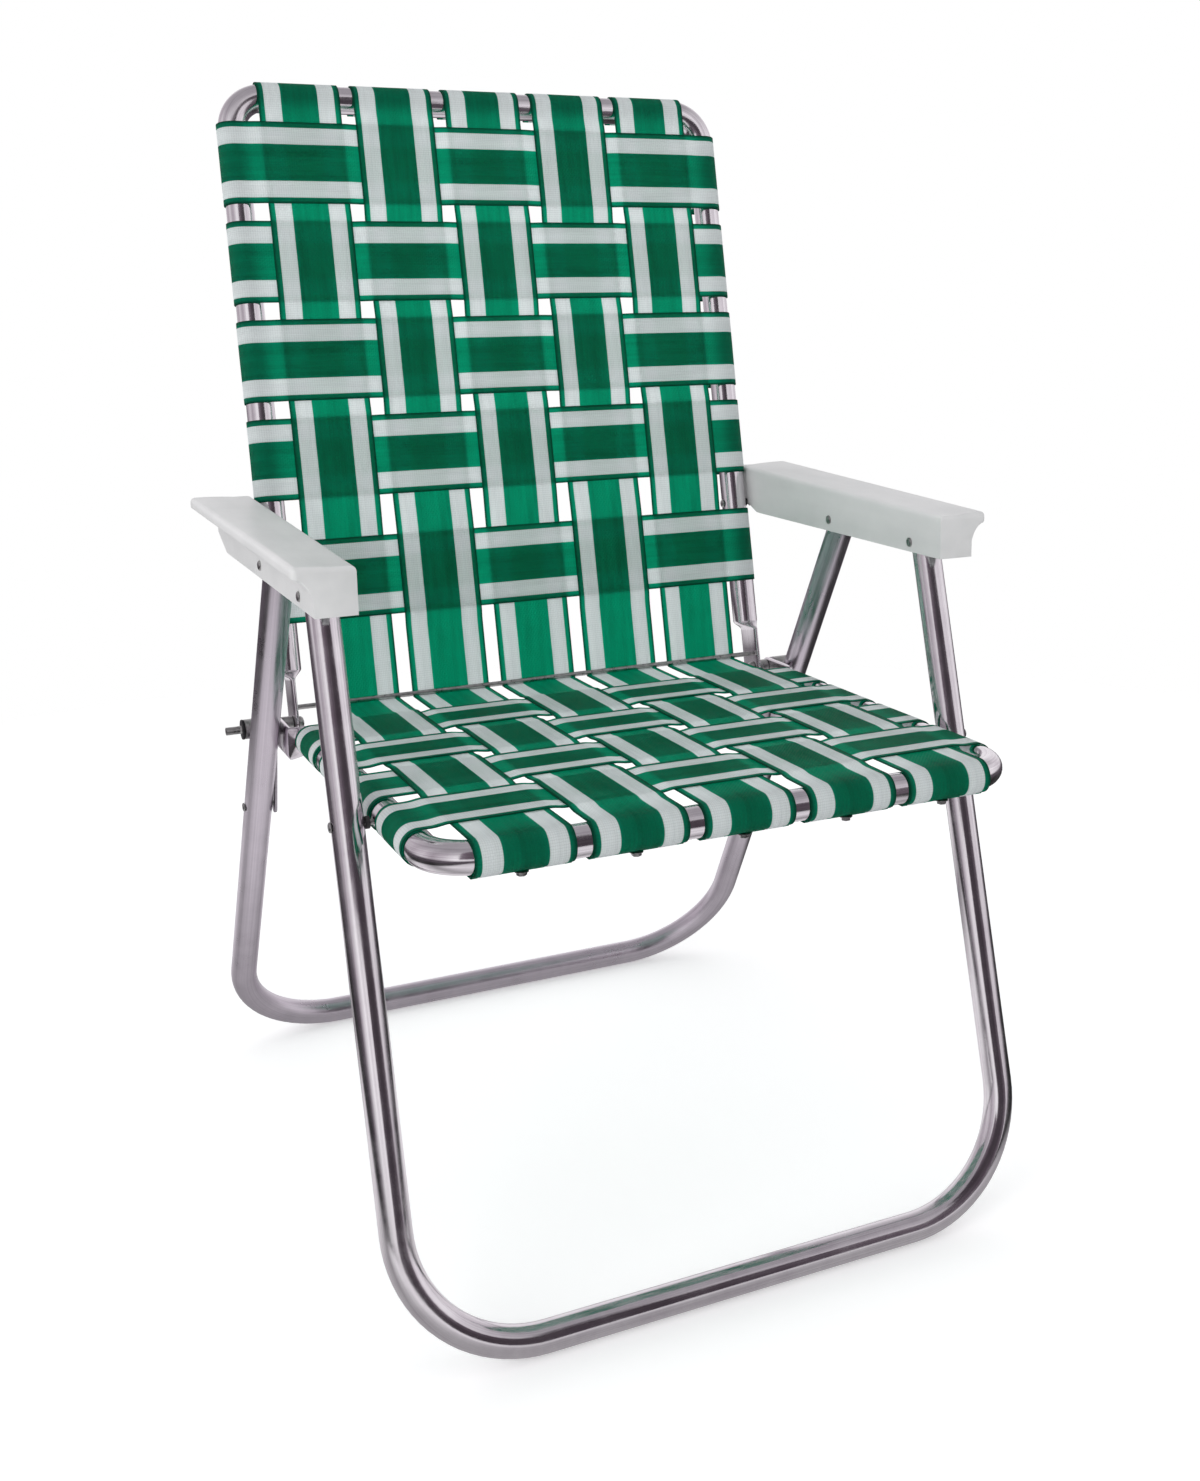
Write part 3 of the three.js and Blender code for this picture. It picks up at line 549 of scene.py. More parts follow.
def wrapped_end(at):
    """From the folded hem behind the tube over its outside to the front: (along, off) pairs."""
    line = [(at + HEM_OVER, -HEM_OFF), (at, -HEM_OFF), (at - HEM_BACK, -HEM_OFF)]
    middle, radius = -(HEM_OFF + WEB_OFF) / 2, (HEM_OFF - WEB_OFF) / 2
    for share in shares(HEM_STEPS)[1:-1]:
        angle = math.pi * share
        line.append((at - HEM_BACK - radius * math.sin(angle), middle - radius * math.cos(angle)))
    line += [(at - HEM_BACK, -WEB_OFF), (at - HEM_BACK / 2, -WEB_OFF)]
    for share in shares(WRAP_STEPS):
        angle = math.pi * share
        line.append((at + WEB_OFF * math.sin(angle), -WEB_OFF * math.cos(angle)))
    return line


def level(x, crossings):
    """How far a strap is lifted at x. Crossings are (centre, lift) pairs in rising order."""
    if x <= crossings[0][0] - HALF_BAND or x >= crossings[-1][0] + HALF_BAND:
        centre, lift = crossings[0] if x < crossings[0][0] else crossings[-1]
        beyond = (abs(x - centre) - HALF_BAND) / LIFT_FADE
        return lift * eased(min(max(1 - beyond, 0), 1))
    for (a, lift_a), (b, lift_b) in zip(crossings, crossings[1:]):
        if a - HALF_BAND <= x <= b + HALF_BAND:
            if x <= a + HALF_BAND:
                return lift_a
            if x < b - HALF_BAND:
                share = (x - a - HALF_BAND) / (b - a - BAND_WIDTH)
                return lift_a + (lift_b - lift_a) * eased(share)
    return crossings[-1][1]


def woven_line(start, end, crossings):
    xs = [start + (end - start) * share for share in shares(round(abs(end - start) / WEAVE_STEP))[1:]]
    return [(x, WEB_OFF + LAYER * level(x, sorted(crossings))) for x in xs]


print("points of a wrapped end:", len(wrapped_end(FRAME_HALF)))

# %% The ribbon
EDGE = 0.7 * MM
ACROSS = [0, 0.12 * EDGE, 0.4 * EDGE, EDGE] + [2.2 * MM, 5 * MM]
ACROSS += [HALF_BAND * i / 6 for i in range(1, 7)]
ACROSS = sorted(set(ACROSS + [BAND_WIDTH - a for a in ACROSS]))
THINNEST = 0.0004
RIPPLE = 0.07 * MM


def ripple(length, across, seed):
    """Small unevenness of a hand-woven strap, in metres."""
    wave = math.sin(length * 61 + seed * 1.7) * math.sin(across * 70 + seed)
    return RIPPLE * (wave + 0.6 * math.sin(length * 23 + seed * 2.9))


def ribbon(name, line, across, seed):
    """A thin closed band of even thickness along line, which runs at right angles to across."""
    lengths = running_length(line)
    rings = []
    for i, spot in enumerate(line):
        ahead, behind = line[min(i + 1, len(line) - 1)], line[max(i - 1, 0)]
        normal = (ahead - behind).cross(across).normalized()
        upper, lower = [], []
        for a in ACROSS:
            share = min(min(a, BAND_WIDTH - a) / EDGE, 1)
            thick = WEB_THICK / 2 * math.sqrt(max(1 - (1 - share) ** 2, THINNEST))
            base = spot + across * (a - HALF_BAND) + normal * ripple(lengths[i], a, seed)
            upper.append(base + normal * thick)
            lower.append(base - normal * thick)
        rings.append(upper + lower[::-1])
    around = ACROSS + ACROSS[::-1] + [ACROSS[0]]
    return ring_skin(name, rings, around, lengths, CLOTH_MAP), lengths[-1]


def back_spot(x, along, off):
    return BACK @ Vector((x, BACK_SETBACK - off, along))


def seat_spot(x, along, off):
    return SEAT @ Vector((x, -along, off - SEAT_DROP))


print("points across a strap:", len(ACROSS))

# %% [markdown]
# Nine straps run across: five on the back, four on the seat. The columns and rows take turns
# on top like a chess board, so a strap is lifted at a crossing where its row and column numbers
# are both odd or both even. The length of each strap is printed.

# %% Straps across the back and the seat
COLUMNS = [(i - 2) * 88.7 * MM for i in range(5)]
BACK_ROWS = [(522 - i * 92.2) * MM for i in range(4)] + [130.8 * MM]
SEAT_ROWS = [(385.3 - i * 94) * MM for i in range(4)]


def cross_lift(row, column):
    """1 where the cross strap is on top, 0 where the long one is."""
    return 1 - (row + column) % 2


def cross_strap(body, spot, row, place, across):
    name = f"{body}_cross_band_{row + 1}"
    right = wrapped_end(FRAME_HALF)
    crossings = [(x, cross_lift(row, column)) for column, x in enumerate(COLUMNS)]
    flat = woven_line(FRAME_HALF, -FRAME_HALF, crossings)[:-1]
    left = [(-a, off) for a, off in reversed(right)]
    line = [spot(a, place, off) for a, off in right + flat + left]
    piece, length = ribbon(name, line, across, row * 3.1 + len(name))
    dressed(piece, webbing, "green_webbing", body, f"{body}_cross_strap_{row + 1}")
    return length


cross_lengths = []
for row, place in enumerate(BACK_ROWS):
    cross_lengths.append(cross_strap("back", back_spot, row, place, BACK_UP))
for row, place in enumerate(SEAT_ROWS):
    cross_lengths.append(cross_strap("seat", seat_spot, row, place, SEAT_FORWARD))
print("cross straps:", [round(length, 3) for length in cross_lengths])

# %% [markdown]
# Five straps run the long way. The real ones are one piece each, from the top of the back, down
# behind the thin rod at the crease and on to the front of the seat. The CAD model cuts them
# there so that it can fold. Here each is whole, bent round the rod from the back to the seat.

# %% Long straps
ROD_OFF = Vector((0, -3.4, 15)) * MM
CREASE_RADIUS = 3.45 * MM
CREASE_STEPS = 8
BACK_RUN_END = 24 * MM
SEAT_RUN_START = 10 * MM


def crease_line(x):
    """The bend round the rod, from the back's plane to the seat's."""
    centre = BACK @ (ROD_OFF + Vector((x, 0, 0)))
    outs = [BACK_AWAY.slerp(SEAT_AWAY, share) for share in shares(CREASE_STEPS)]
    return [centre + out * CREASE_RADIUS for out in outs]


def long_strap(column):
    def lifts(places):
        return [(place, 1 - cross_lift(row, column)) for row, place in enumerate(places)]

    x, label = COLUMNS[column], column + 1
    name = f"long_band_{label}"
    down = wrapped_end(BACK_LENGTH) + woven_line(BACK_LENGTH, BACK_RUN_END, lifts(BACK_ROWS))
    out = woven_line(SEAT_RUN_START, SEAT_LENGTH, lifts(SEAT_ROWS))[:-1] + wrapped_end(SEAT_LENGTH)[::-1]
    line = [back_spot(x, a, off) for a, off in down] + crease_line(x)
    line += [seat_spot(x, a, off) for a, off in out]
    piece, length = ribbon(name, line, Vector((1, 0, 0)), column * 2.3)
    parts = [f"{part}_strap_{label}" for part in ("back_long", "crease", "seat_long")]
    dressed(piece, webbing, "green_webbing", None, *parts)
    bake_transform(piece)
    return length


long_lengths = [long_strap(column) for column in range(len(COLUMNS))]
print("long straps:", [round(length, 3) for length in long_lengths])

# %% [markdown]
# Bolts, rivets, washers and spacers are turned parts. Each is an outline of radius and reach,
# spun round the left to right axis. The left one is the right one seen in a mirror.

# %% Finish: zinc, black steel and black plastic
GRAIN_STRETCH = (300, 1500, 1500)
STAIN_SCALE = 160.0


def hardware_finish(name, pale, dark, metallic, rough):
    finish, tree, shader = finish_tree(name)
    place = add(tree, "ShaderNodeTexCoord").outputs["Object"]
    grain = noise(tree, stretched(tree, place, GRAIN_STRETCH), 1.0, 3.0, 0.6)
    stains = noise(tree, place, STAIN_SCALE, 3.0, 0.6)
    feed(tree, shader, {
        "Base Color": blend_colour(tree, remap(tree, stains, 0.35, 0.65), dark, pale), "Metallic": metallic,
        "Roughness": remap(tree, stains, 0.3, 0.7, *rough), "Normal": bump(tree, grain, 0.2, 0.0001)})
    return finish


zinc = hardware_finish("zinc_plate", pale=(0.52, 0.52, 0.51, 1), dark=(0.30, 0.31, 0.30, 1),
                       metallic=1.0, rough=(0.24, 0.42))
black_steel = hardware_finish("black_washer_finish", pale=(0.035, 0.035, 0.038, 1),
                              dark=(0.012, 0.012, 0.014, 1), metallic=0.6, rough=(0.35, 0.5))
black_plastic = hardware_finish("black_spacer_finish", pale=(0.03, 0.03, 0.032, 1),
                                dark=(0.015, 0.015, 0.016, 1), metallic=0.0, rough=(0.4, 0.6))
print("finishes:", zinc.name, black_steel.name, black_plastic.name)

# %% Turned parts
TURNED_SIDES = 28
TIP_RADIUS = 0.02 * MM
EDGE_ROUND = 0.4 * MM
FINISHES = {"zinc": zinc, "black_washer": black_steel, "black_spacer": black_plastic}
turned_parts = []


def turned_pair(name, outline, spot, body, slot="zinc", node=None):
    lengths = [abs(reach) for _, reach in outline]
    for side, word in SIDES:
        rings = []
        for radius, reach in outline:
            middle, radius = Vector((side * reach, spot.y, spot.z)), max(radius, TIP_RADIUS)
            rings.append([middle + Vector((0, math.cos(a), side * math.sin(a))) * radius
                          for a in angles(TURNED_SIDES)])
        piece = ring_skin(f"{name}_{word}", rings, shares(TURNED_SIDES), lengths, TUBE_MAP)
        turned_parts.append(dressed(piece, FINISHES[slot], slot, body, f"{node or name}_{word}"))


def head(reach, radius, height, out):
    """The outline of a low domed head on the face at reach: out is 1 or -1."""
    dome = ((1, 0), (1, 0.25), (0.93, 0.6), (0.72, 0.88), (0.4, 1), (0, 1))
    return [(radius * r, reach + out * height * h) for r, h in dome]


RIVET_SHANK, RIVET_HEAD, RIVET_HEIGHT = 2.5 * MM, 4.2 * MM, 1.6 * MM


def rivet_outline(inner, outer):
    low = head(inner, RIVET_HEAD, RIVET_HEIGHT, -1)[::-1]
    return low + [(RIVET_SHANK, inner), (RIVET_SHANK, outer)] + head(outer, RIVET_HEAD, RIVET_HEIGHT, 1)


def ring_outline(outer, inner, start, end, round_by=EDGE_ROUND):
    return [(inner, start), (outer - round_by, start), (outer, start + round_by),
            (outer, end - round_by), (outer - round_by, end), (inner, end)]


print("a rivet's outline has", len(rivet_outline(0, 1)), "points")

# %% Hinge stack
BACK_PLATE_IN = FRAME_HALF - PLATE_HALF_THICK
BACK_PLATE_OUT = FRAME_HALF + PLATE_HALF_THICK
SEAT_PLATE_IN = SEAT_PLATE_X - PLATE_HALF_THICK
LINK_OUT = LEG_INNER + 2.3 * MM
BOLT, BOLT_HEAD, BOLT_HEAD_HEIGHT = 3.8 * MM, 6.4 * MM, 5 * MM
BUSH, STOP, WASHER = 7.35 * MM, 9.14 * MM, 9.3 * MM
THREAD_PITCH, THREAD_DEPTH, BOLT_POINT = 1.1 * MM, 0.35 * MM, 0.8 * MM


def rear_leg_outside(height):
    """How far out the spread rear leg reaches at a height."""
    share = down_leg(ARM_REAR_PIVOT, height, REAR_LEAN) / REAR_LENGTH
    return LEG_HALF + REAR_SPLAY * share + TUBE_RADIUS


STOP_OUT = rear_leg_outside(HINGE.z) + 0.5 * MM
WASHER_IN = STOP_OUT + GAP
WASHER_OUT = WASHER_IN + 2.2 * MM
BOLT_END = WASHER_OUT + 14 * MM


def threaded(start, end):
    rows, reach = [], start
    while reach < end - THREAD_PITCH:
        rows += [(BOLT, reach), (BOLT - THREAD_DEPTH, reach + THREAD_PITCH / 2)]
        reach += THREAD_PITCH
    return rows + [(BOLT, reach), (BOLT - BOLT_POINT, end), (0, end)]


bolt_head_at = BACK_PLATE_IN - GAP
bolt = head(bolt_head_at, BOLT_HEAD, BOLT_HEAD_HEIGHT, -1)[::-1] + [(BOLT, bolt_head_at)]
bolt += threaded(WASHER_OUT + 1.5 * MM, BOLT_END)
bush = ring_outline(BUSH, BOLT, BACK_PLATE_OUT + GAP, SEAT_PLATE_IN - GAP)
stop = ring_outline(STOP, BOLT, LINK_OUT + GAP, STOP_OUT)
washer = ring_outline(WASHER, BOLT, WASHER_IN, WASHER_OUT)
for name, outline in (("hinge_bolt", bolt), ("hinge_bush", bush), ("leg_stop", stop)):
    turned_pair(name, outline, HINGE, "seat")
turned_pair("hinge_washer", washer, HINGE, "seat", "black_washer")
print("the bolt ends", round(BOLT_END, 4), "m from the middle")

# %% Rivets and spacers
ARM_INNER = 253.6 * MM
ARM_OUTER = 286 * MM
SPACER, ARM_SPACER = 5 * MM, 4.2 * MM
SEAT_SPACER_IN = 253.5 * MM
arm_rivet = rivet_outline(ARM_INNER - GAP, ARM_OUTER + GAP)
inner_grip = FRAME_HALF - TUBE_RADIUS - GAP
back_rivet = rivet_outline(inner_grip, ARM_INNER + 3.5 * MM)
seat_rivet = rivet_outline(inner_grip, LEG_HALF + TUBE_RADIUS + GAP)
back_spacer = ring_outline(ARM_SPACER, RIVET_SHANK, FRAME_HALF + TUBE_RADIUS + GAP, ARM_INNER - GAP,
                           EDGE_ROUND / 2)
seat_spacer = ring_outline(SPACER, RIVET_SHANK, SEAT_SPACER_IN, LEG_INNER - GAP)
brace_out = rear_leg_outside(BRACE_PIVOT.z) + GAP
brace_rivet = [(0, LINK_OUT + GAP), (RIVET_SHANK, LINK_OUT + GAP), (RIVET_SHANK, brace_out)]
brace_rivet += head(brace_out, RIVET_HEAD, RIVET_HEIGHT, 1)
turned_pair("front_leg_rivet", arm_rivet, ARM_FRONT_PIVOT, "front_legs")
turned_pair("rear_leg_rivet", arm_rivet, ARM_REAR_PIVOT, "rear_legs")
turned_pair("back_rivet", back_rivet, BACK_PIVOT, "back", node="back_arm_rivet")
turned_pair("back_spacer", back_spacer, BACK_PIVOT, "back", "black_spacer", "back_arm_spacer")
turned_pair("seat_rivet", seat_rivet, SEAT_PIVOT, "seat", node="seat_pivot_rivet")
turned_pair("seat_spacer", seat_spacer, SEAT_PIVOT, "seat", "black_spacer", "seat_pivot_spacer")
turned_pair("brace_rivet", brace_rivet, BRACE_PIVOT, "rear_legs")
print("turned parts:", len(turned_parts))

# %% [markdown]
# A thin rod of soft wire crosses the crease in front of the straps, on a barely bowed line.

# %% Crease rod
ROD_RADIUS = 2.4 * MM
ROD_HALF_STEPS = 20
ROD_SIDES = 16
rod_half = BACK_PLATE_IN - GAP
rod_round = [Vector((0, math.cos(a), math.sin(a))) * ROD_RADIUS for a in angles(ROD_SIDES)]
rod_spots = []
for share in shares(2 * ROD_HALF_STEPS):
    x = rod_half * (2 * share - 1)
    bow = 0.2 * MM * math.sin(x * 9) + 0.1 * MM * math.sin(x * 31)
    rod_spots.append(Vector((x, ROD_OFF.y - 0.1 * MM, ROD_OFF.z + bow)))
rod_rings = [[BACK @ (spot + out) for out in rod_round] for spot in rod_spots]
rod = ring_skin("crease_wire", rod_rings, shares(ROD_SIDES), running_length(rod_spots), TUBE_MAP)
dressed(rod, zinc, "zinc", "back", "crease_rod")
print("rod length", round(2 * rod_half, 3))

# %% [markdown]
# The brace links are flat bars with round ends. The outline is filled as one face, given its
# thickness, and its edges are softened by a bevel, because a stamped bar has no sharp edge.

# %% Solids with softened edges
def baked(piece):
    """Applies the modifiers of a piece."""
    graph = bpy.context.evaluated_depsgraph_get()
    mesh = bpy.data.meshes.new_from_object(piece.evaluated_get(graph))
    piece.modifiers.clear()
    piece.data = mesh


def loose(name, points, faces):
    mesh = bpy.data.meshes.new(name)
    mesh.from_pydata([tuple(p) for p in points], [], faces)
    mesh.validate()
    return to_object(name, mesh)


def loft_faces(rows, count, turn=1, base=0):
    """Faces between rows of count points each, with a lid at both ends."""
    last = base + (rows - 1) * count
    faces = [tuple(range(base, base + count))[::turn], tuple(range(last, last + count))[::-turn]]
    for i in range(base, last, count):
        for j in range(count):
            k = (j + 1) % count
            faces.append((i + j, i + count + j, i + count + k, i + k)[::turn])
    return faces


def bevelled(piece, width, segments, degrees=35):
    soft = piece.modifiers.new("soft_edges", "BEVEL")
    soft.width, soft.segments, soft.limit_method = width, segments, "ANGLE"
    soft.angle_limit = math.radians(degrees)
    baked(piece)
    smooth(piece.data, 30)


print("a box has", len(loft_faces(2, 4)), "faces")

# %% Brace links
LINK_HALF_WIDE = 9 * MM
LINK_END_STEPS = 16
dull_bar = hardware_finish("dull_bar", pale=(0.50, 0.47, 0.51, 1), dark=(0.34, 0.32, 0.35, 1),
                           metallic=1.0, rough=(0.3, 0.45))


def brace_link(side, word):
    run = BRACE_PIVOT - HINGE
    turn = Matrix.Rotation(math.atan2(run.y, -run.z), 4, "X")
    outline = []
    for centre, start in ((0, 0), (-run.length, math.pi)):
        for share in shares(LINK_END_STEPS):
            angle = start + math.pi * share
            outline.append((math.cos(angle) * LINK_HALF_WIDE, centre + math.sin(angle) * LINK_HALF_WIDE))
    points = [HINGE + turn @ Vector((side * x, y, z)) for x in (LEG_INNER, LINK_OUT) for y, z in outline]
    piece = loose(f"brace_bar_{word}", points, loft_faces(2, len(outline), -side))
    bevelled(piece, 0.5 * MM, 2)
    return dressed(piece, dull_bar, "dull_aluminium", f"{word}_brace", f"brace_link_{word}")


links = [brace_link(side, word) for side, word in SIDES]
print("links:", [piece.name for piece in links])

# %% [markdown]
# The arms are white plastic mouldings: an upside-down channel over the tops of the legs, with
# a rounded lip that rolls outwards and a shallow dish along the top. The outside is lofted from
# cross sections. Then the channel is cut out of it and all edges are softened.

# %% Finish: moulded white plastic
MOULDED_DARK = (0.655, 0.66, 0.66, 1)
MOULDED_PALE = (0.735, 0.735, 0.735, 1)
CLOUD_SCALE = 14.0
FLOW_STRETCH = (60, 9, 60)
PLASTIC_GRAIN = 900.0

moulded, tree, shader = finish_tree("moulded_white")
place = add(tree, "ShaderNodeTexCoord").outputs["Object"]
cloud = noise(tree, place, CLOUD_SCALE, 3.0, 0.55)
flow = noise(tree, stretched(tree, place, FLOW_STRETCH), 1.0, 2.0, 0.5)
grain = noise(tree, place, PLASTIC_GRAIN, 2.0, 0.5)
tone = remap(tree, weighed(tree, (cloud, 0.6), (flow, 0.4)), 0.35, 0.65)
height = weighed(tree, (grain, 0.5), (flow, 0.5))
feed(tree, shader, {
    "Base Color": blend_colour(tree, tone, MOULDED_DARK, MOULDED_PALE), "Specular IOR Level": 0.42,
    "Roughness": remap(tree, grain, 0.3, 0.7, 0.34, 0.46), "Normal": bump(tree, height, 0.12, 0.0002)})
print("finish:", moulded.name)

# %% The outside of an arm
ARM_NOSE = 51.5 * MM
ARM_END = (BACK_PIVOT.y - ARM_FRONT_PIVOT.y) + 15 * MM
ARM_TAIL = ARM_END - 40 * MM
ARM_TOP = 30 * MM
LOW_FRONT, LOW_REAR, TAIL_RISE = -7.5 * MM, -15.5 * MM, 14 * MM
LIP_TOP = 31.5 * MM
LIP_LOW = 21.5 * MM
COVE_LOW = 6.5 * MM
COVE_SHARE = 0.25
LIP_REACH = 15 * MM
LIP_FLARE = 8 * MM
NOSE_REACH = 0.7
TOP_ROUND = 5 * MM
CORNER = 6 * MM


def curve(a, control, b, steps=6):
    """Points on a quadratic curve after a, up to b."""
    return [tuple(p * (1 - t) ** 2 + 2 * q * t * (1 - t) + r * t * t for p, q, r in zip(a, control, b))
            for t in shares(steps)[1:]]


def arm_section(y):
    """The outside of the right arm at y behind its front pivot, as (x, z) from the same pivot."""
    share = (y + ARM_NOSE) / (ARM_END + ARM_NOSE)
    corner = min((y + ARM_NOSE) / CORNER, 1)
    rounding = math.sqrt(max(1 - (1 - corner) ** 2, 0))
    reach = (LIP_REACH + LIP_FLARE * share) * (NOSE_REACH + (1 - NOSE_REACH) * rounding)
    lip = ARM_OUTER + reach
    way = min(max(y + ARM_NOSE, 0) / (ARM_TAIL + ARM_NOSE), 1)
    low = LOW_FRONT + (LOW_REAR - LOW_FRONT) * way
    low += TAIL_RISE * max(y - ARM_TAIL, 0) / (ARM_END - ARM_TAIL)
    edge, under = TOP_ROUND, TOP_ROUND / 2
    points = [(ARM_INNER, low), (ARM_INNER, ARM_TOP - edge)]
    points += curve(points[-1], (ARM_INNER, ARM_TOP), (ARM_INNER + edge, ARM_TOP))
    points.append((LEG_HALF, ARM_TOP))
    points += curve(points[-1], (ARM_OUTER, LIP_TOP), (lip - edge, LIP_TOP))
    points += curve(points[-1], (lip, LIP_TOP), (lip, LIP_TOP - edge))
    points.append((lip, LIP_LOW + under))
    points += curve(points[-1], (lip, LIP_LOW), (lip - under, LIP_LOW), steps=4)
    cove = (ARM_OUTER + reach * COVE_SHARE, LIP_LOW - (LIP_LOW - COVE_LOW) * COVE_SHARE)
    points += curve(points[-1], cove, (ARM_OUTER, COVE_LOW), steps=8)
    points.append((ARM_OUTER, low))
    fall = max(TOP_ROUND - (y + ARM_NOSE), 0)
    highest = LIP_TOP - TOP_ROUND + math.sqrt(TOP_ROUND ** 2 - fall ** 2)
    return [(x, min(z, highest)) for x, z in points]


print("an arm's section has", len(arm_section(0)), "points")

# %% Arms
ARM_STEPS = 40
NOSE_STEPS = 8
ARM_WALL, ARM_ROOF, CHANNEL_LOW = 3.2 * MM, 3 * MM, -40 * MM
# The outer wall is thin enough that the spread rear leg clears it when folded.
ARM_OUTER_WALL = 1.9 * MM
BOX_FACES = [(0, 1, 3, 2), (4, 6, 7, 5), (0, 4, 5, 1), (2, 3, 7, 6), (0, 2, 6, 4), (1, 5, 7, 3)]


def arm(side, word):
    def placed(points):
        return [ARM_FRONT_PIVOT + Vector((side * x, y, z)) for x, y, z in points]

    ys = [-ARM_NOSE + CORNER * (1 - math.cos(math.pi / 2 * share)) for share in shares(NOSE_STEPS)]
    ys += [ys[-1] + (ARM_END - ys[-1]) * share for share in shares(ARM_STEPS)[1:]]
    points = placed([(x, y, z) for y in ys for x, z in arm_section(y)])
    body = loose(f"arm_rest_{word}", points, loft_faces(len(ys), len(points) // len(ys), side))
    corners = [(x, y, z) for x in (ARM_INNER + ARM_WALL, ARM_OUTER - ARM_OUTER_WALL)
               for y in (ARM_WALL - ARM_NOSE, ARM_END - ARM_WALL) for z in (CHANNEL_LOW, ARM_TOP - ARM_ROOF)]
    cutter = loose("channel", placed(corners), [face[::side] for face in BOX_FACES])
    cut = body.modifiers.new("channel", "BOOLEAN")
    cut.operation, cut.object, cut.solver = "DIFFERENCE", cutter, "EXACT"
    baked(body)
    bpy.data.objects.remove(cutter)
    bevelled(body, 1.1 * MM, 3, 40)
    body.data.materials.clear()
    return dressed(body, moulded, "moulded_white", f"{word}_arm", f"arm_{word}")


arms = [arm(side, word) for side, word in SIDES]
print("arms:", [len(piece.data.polygons) for piece in arms], "faces")

# %% [markdown]
# Every strap end is held by a hex screw with a flange, on the side of the tube away from the
# sitter. All screws of one body are one mesh, since nothing tells them apart.

# %% Screws at the strap ends
SCREW_OFF = HEM_OFF + WEB_THICK / 2
SCREW_SIDES = 24
SCREW_TURN = 1.3
SIXTH = math.pi / 3
# Radius and height in millimetres, and whether the head is a hexagon there.
SCREW_ROWS = ((0.1, 3.4, True), (3.2, 3.4, True), (3.9, 2.9, True), (3.9, 0.9, True),
              (4.6, 0.8, False), (5.2, 0.45, False), (5.2, -0.2, False), (0.1, -0.2, False))


def screw_points(spot, out, turn):
    """Rows of points for a flanged hex head that stands on spot and points along out."""
    side = out.orthogonal().normalized()
    other = out.cross(side)
    points = []
    for radius, height, hexagonal in SCREW_ROWS:
        for a in angles(SCREW_SIDES):
            r = radius * MM
            if hexagonal:
                r *= math.cos(SIXTH / 2) / math.cos(a % SIXTH - SIXTH / 2)
            flat = side * math.cos(a + turn) + other * math.sin(a + turn)
            points.append(spot + flat * r + out * height * MM)
    return points


def screw_set(body, spot_at, away, length, rows):
    spots = [spot_at(x, length, -SCREW_OFF) for x in COLUMNS]
    spots += [spot_at(side * FRAME_HALF, place, -SCREW_OFF) for place in rows for side in (-1, 1)]
    points, faces = [], []
    for n, spot in enumerate(spots):
        faces += loft_faces(len(SCREW_ROWS), SCREW_SIDES, base=len(points))
        points += screw_points(spot, away, n * SCREW_TURN)
    piece = loose(f"{body}_strap_screws", points, faces)
    smooth(piece.data, 35)
    dressed(piece, zinc, "zinc", body)
    print("screws on the", body, len(spots))


screw_set("back", back_spot, BACK_AWAY, BACK_LENGTH, BACK_ROWS)
screw_set("seat", seat_spot, SEAT_AWAY, SEAT_LENGTH, SEAT_ROWS)

# %% [markdown]
# A white sweep stands for the studio. Polished tube only looks like metal if it has something
# to mirror, and an all white room would leave it flat. So mirrored light sees a room of its
# own: a pale floor that is dimmer near the two bars, a dim wall where the camera stands, and
# brighter and darker places round the chair. They give the dark band along each tube with
# bright edges beside it. The camera sees only the white sweep and the soft shadows on it.

# %% Floor
FLOOR_HALF = 2
FLOOR_DARK = (0.94, 0.94, 0.945, 1)
FLOOR_PALE = (0.96, 0.96, 0.96, 1)
SWEEP_CLEAR = 1.1
SWEEP_END = 1.9
# The camera sees this much more light from the floor, so that it is as white as the photograph's.
FLOOR_LIFT = 0.29
# In mirrored light the floor glows, with painted shade close to the two bars, and fades out beside the chair.
BAR_PLACE = 0.33
BAR_REACH = (0.03, 0.25)
RIGHT_EDGE = (0.36, 0.50)
LEFT_EDGE = (-0.86, -0.70)
BESIDE = 0.06

pale_floor, tree, shader = finish_tree("pale_floor")
place = add(tree, "ShaderNodeTexCoord").outputs["Object"]
tone = noise(tree, place, 3.0, 2.0, 0.5)
rays = add(tree, "ShaderNodeLightPath")
feed(tree, shader, {
    "Base Color": blend_colour(tree, tone, FLOOR_DARK, FLOOR_PALE), "Roughness": 0.8,
    "Specular IOR Level": 0.1, "Emission Color": (1, 1, 1, 1),
    "Emission Strength": times(tree, rays.outputs["Is Camera Ray"], FLOOR_LIFT)})
spot = add(tree, "ShaderNodeSeparateXYZ", {"Vector": place})
off_middle = maths(tree, "ABSOLUTE", spot.outputs["Y"])
from_bar = maths(tree, "ABSOLUTE", maths(tree, "SUBTRACT", off_middle, BAR_PLACE))
lit = remap(tree, from_bar, *BAR_REACH, 0.40, 0.84)
lit = times(tree, lit, remap(tree, spot.outputs["X"], *RIGHT_EDGE, 1.0, BESIDE))
lit = times(tree, lit, remap(tree, spot.outputs["X"], *LEFT_EDGE, BESIDE, 1.0))
card = add(tree, "ShaderNodeEmission", {"Color": (1.0, 0.97, 1.0, 1), "Strength": lit})
mirrored = rays.outputs["Is Glossy Ray"]
sweep = add(tree, "ShaderNodeMixShader", {0: mirrored, 1: shader.outputs[0], 2: card.outputs[0]})
reach = add(tree, "ShaderNodeVectorMath", {0: place}, operation="LENGTH").outputs["Value"]
clear = add(tree, "ShaderNodeBsdfTransparent")
share = remap(tree, reach, SWEEP_CLEAR, SWEEP_END)
mix = add(tree, "ShaderNodeMixShader", {0: share, 1: sweep.outputs[0], 2: clear.outputs[0]})
surface(tree, mix.outputs[0])
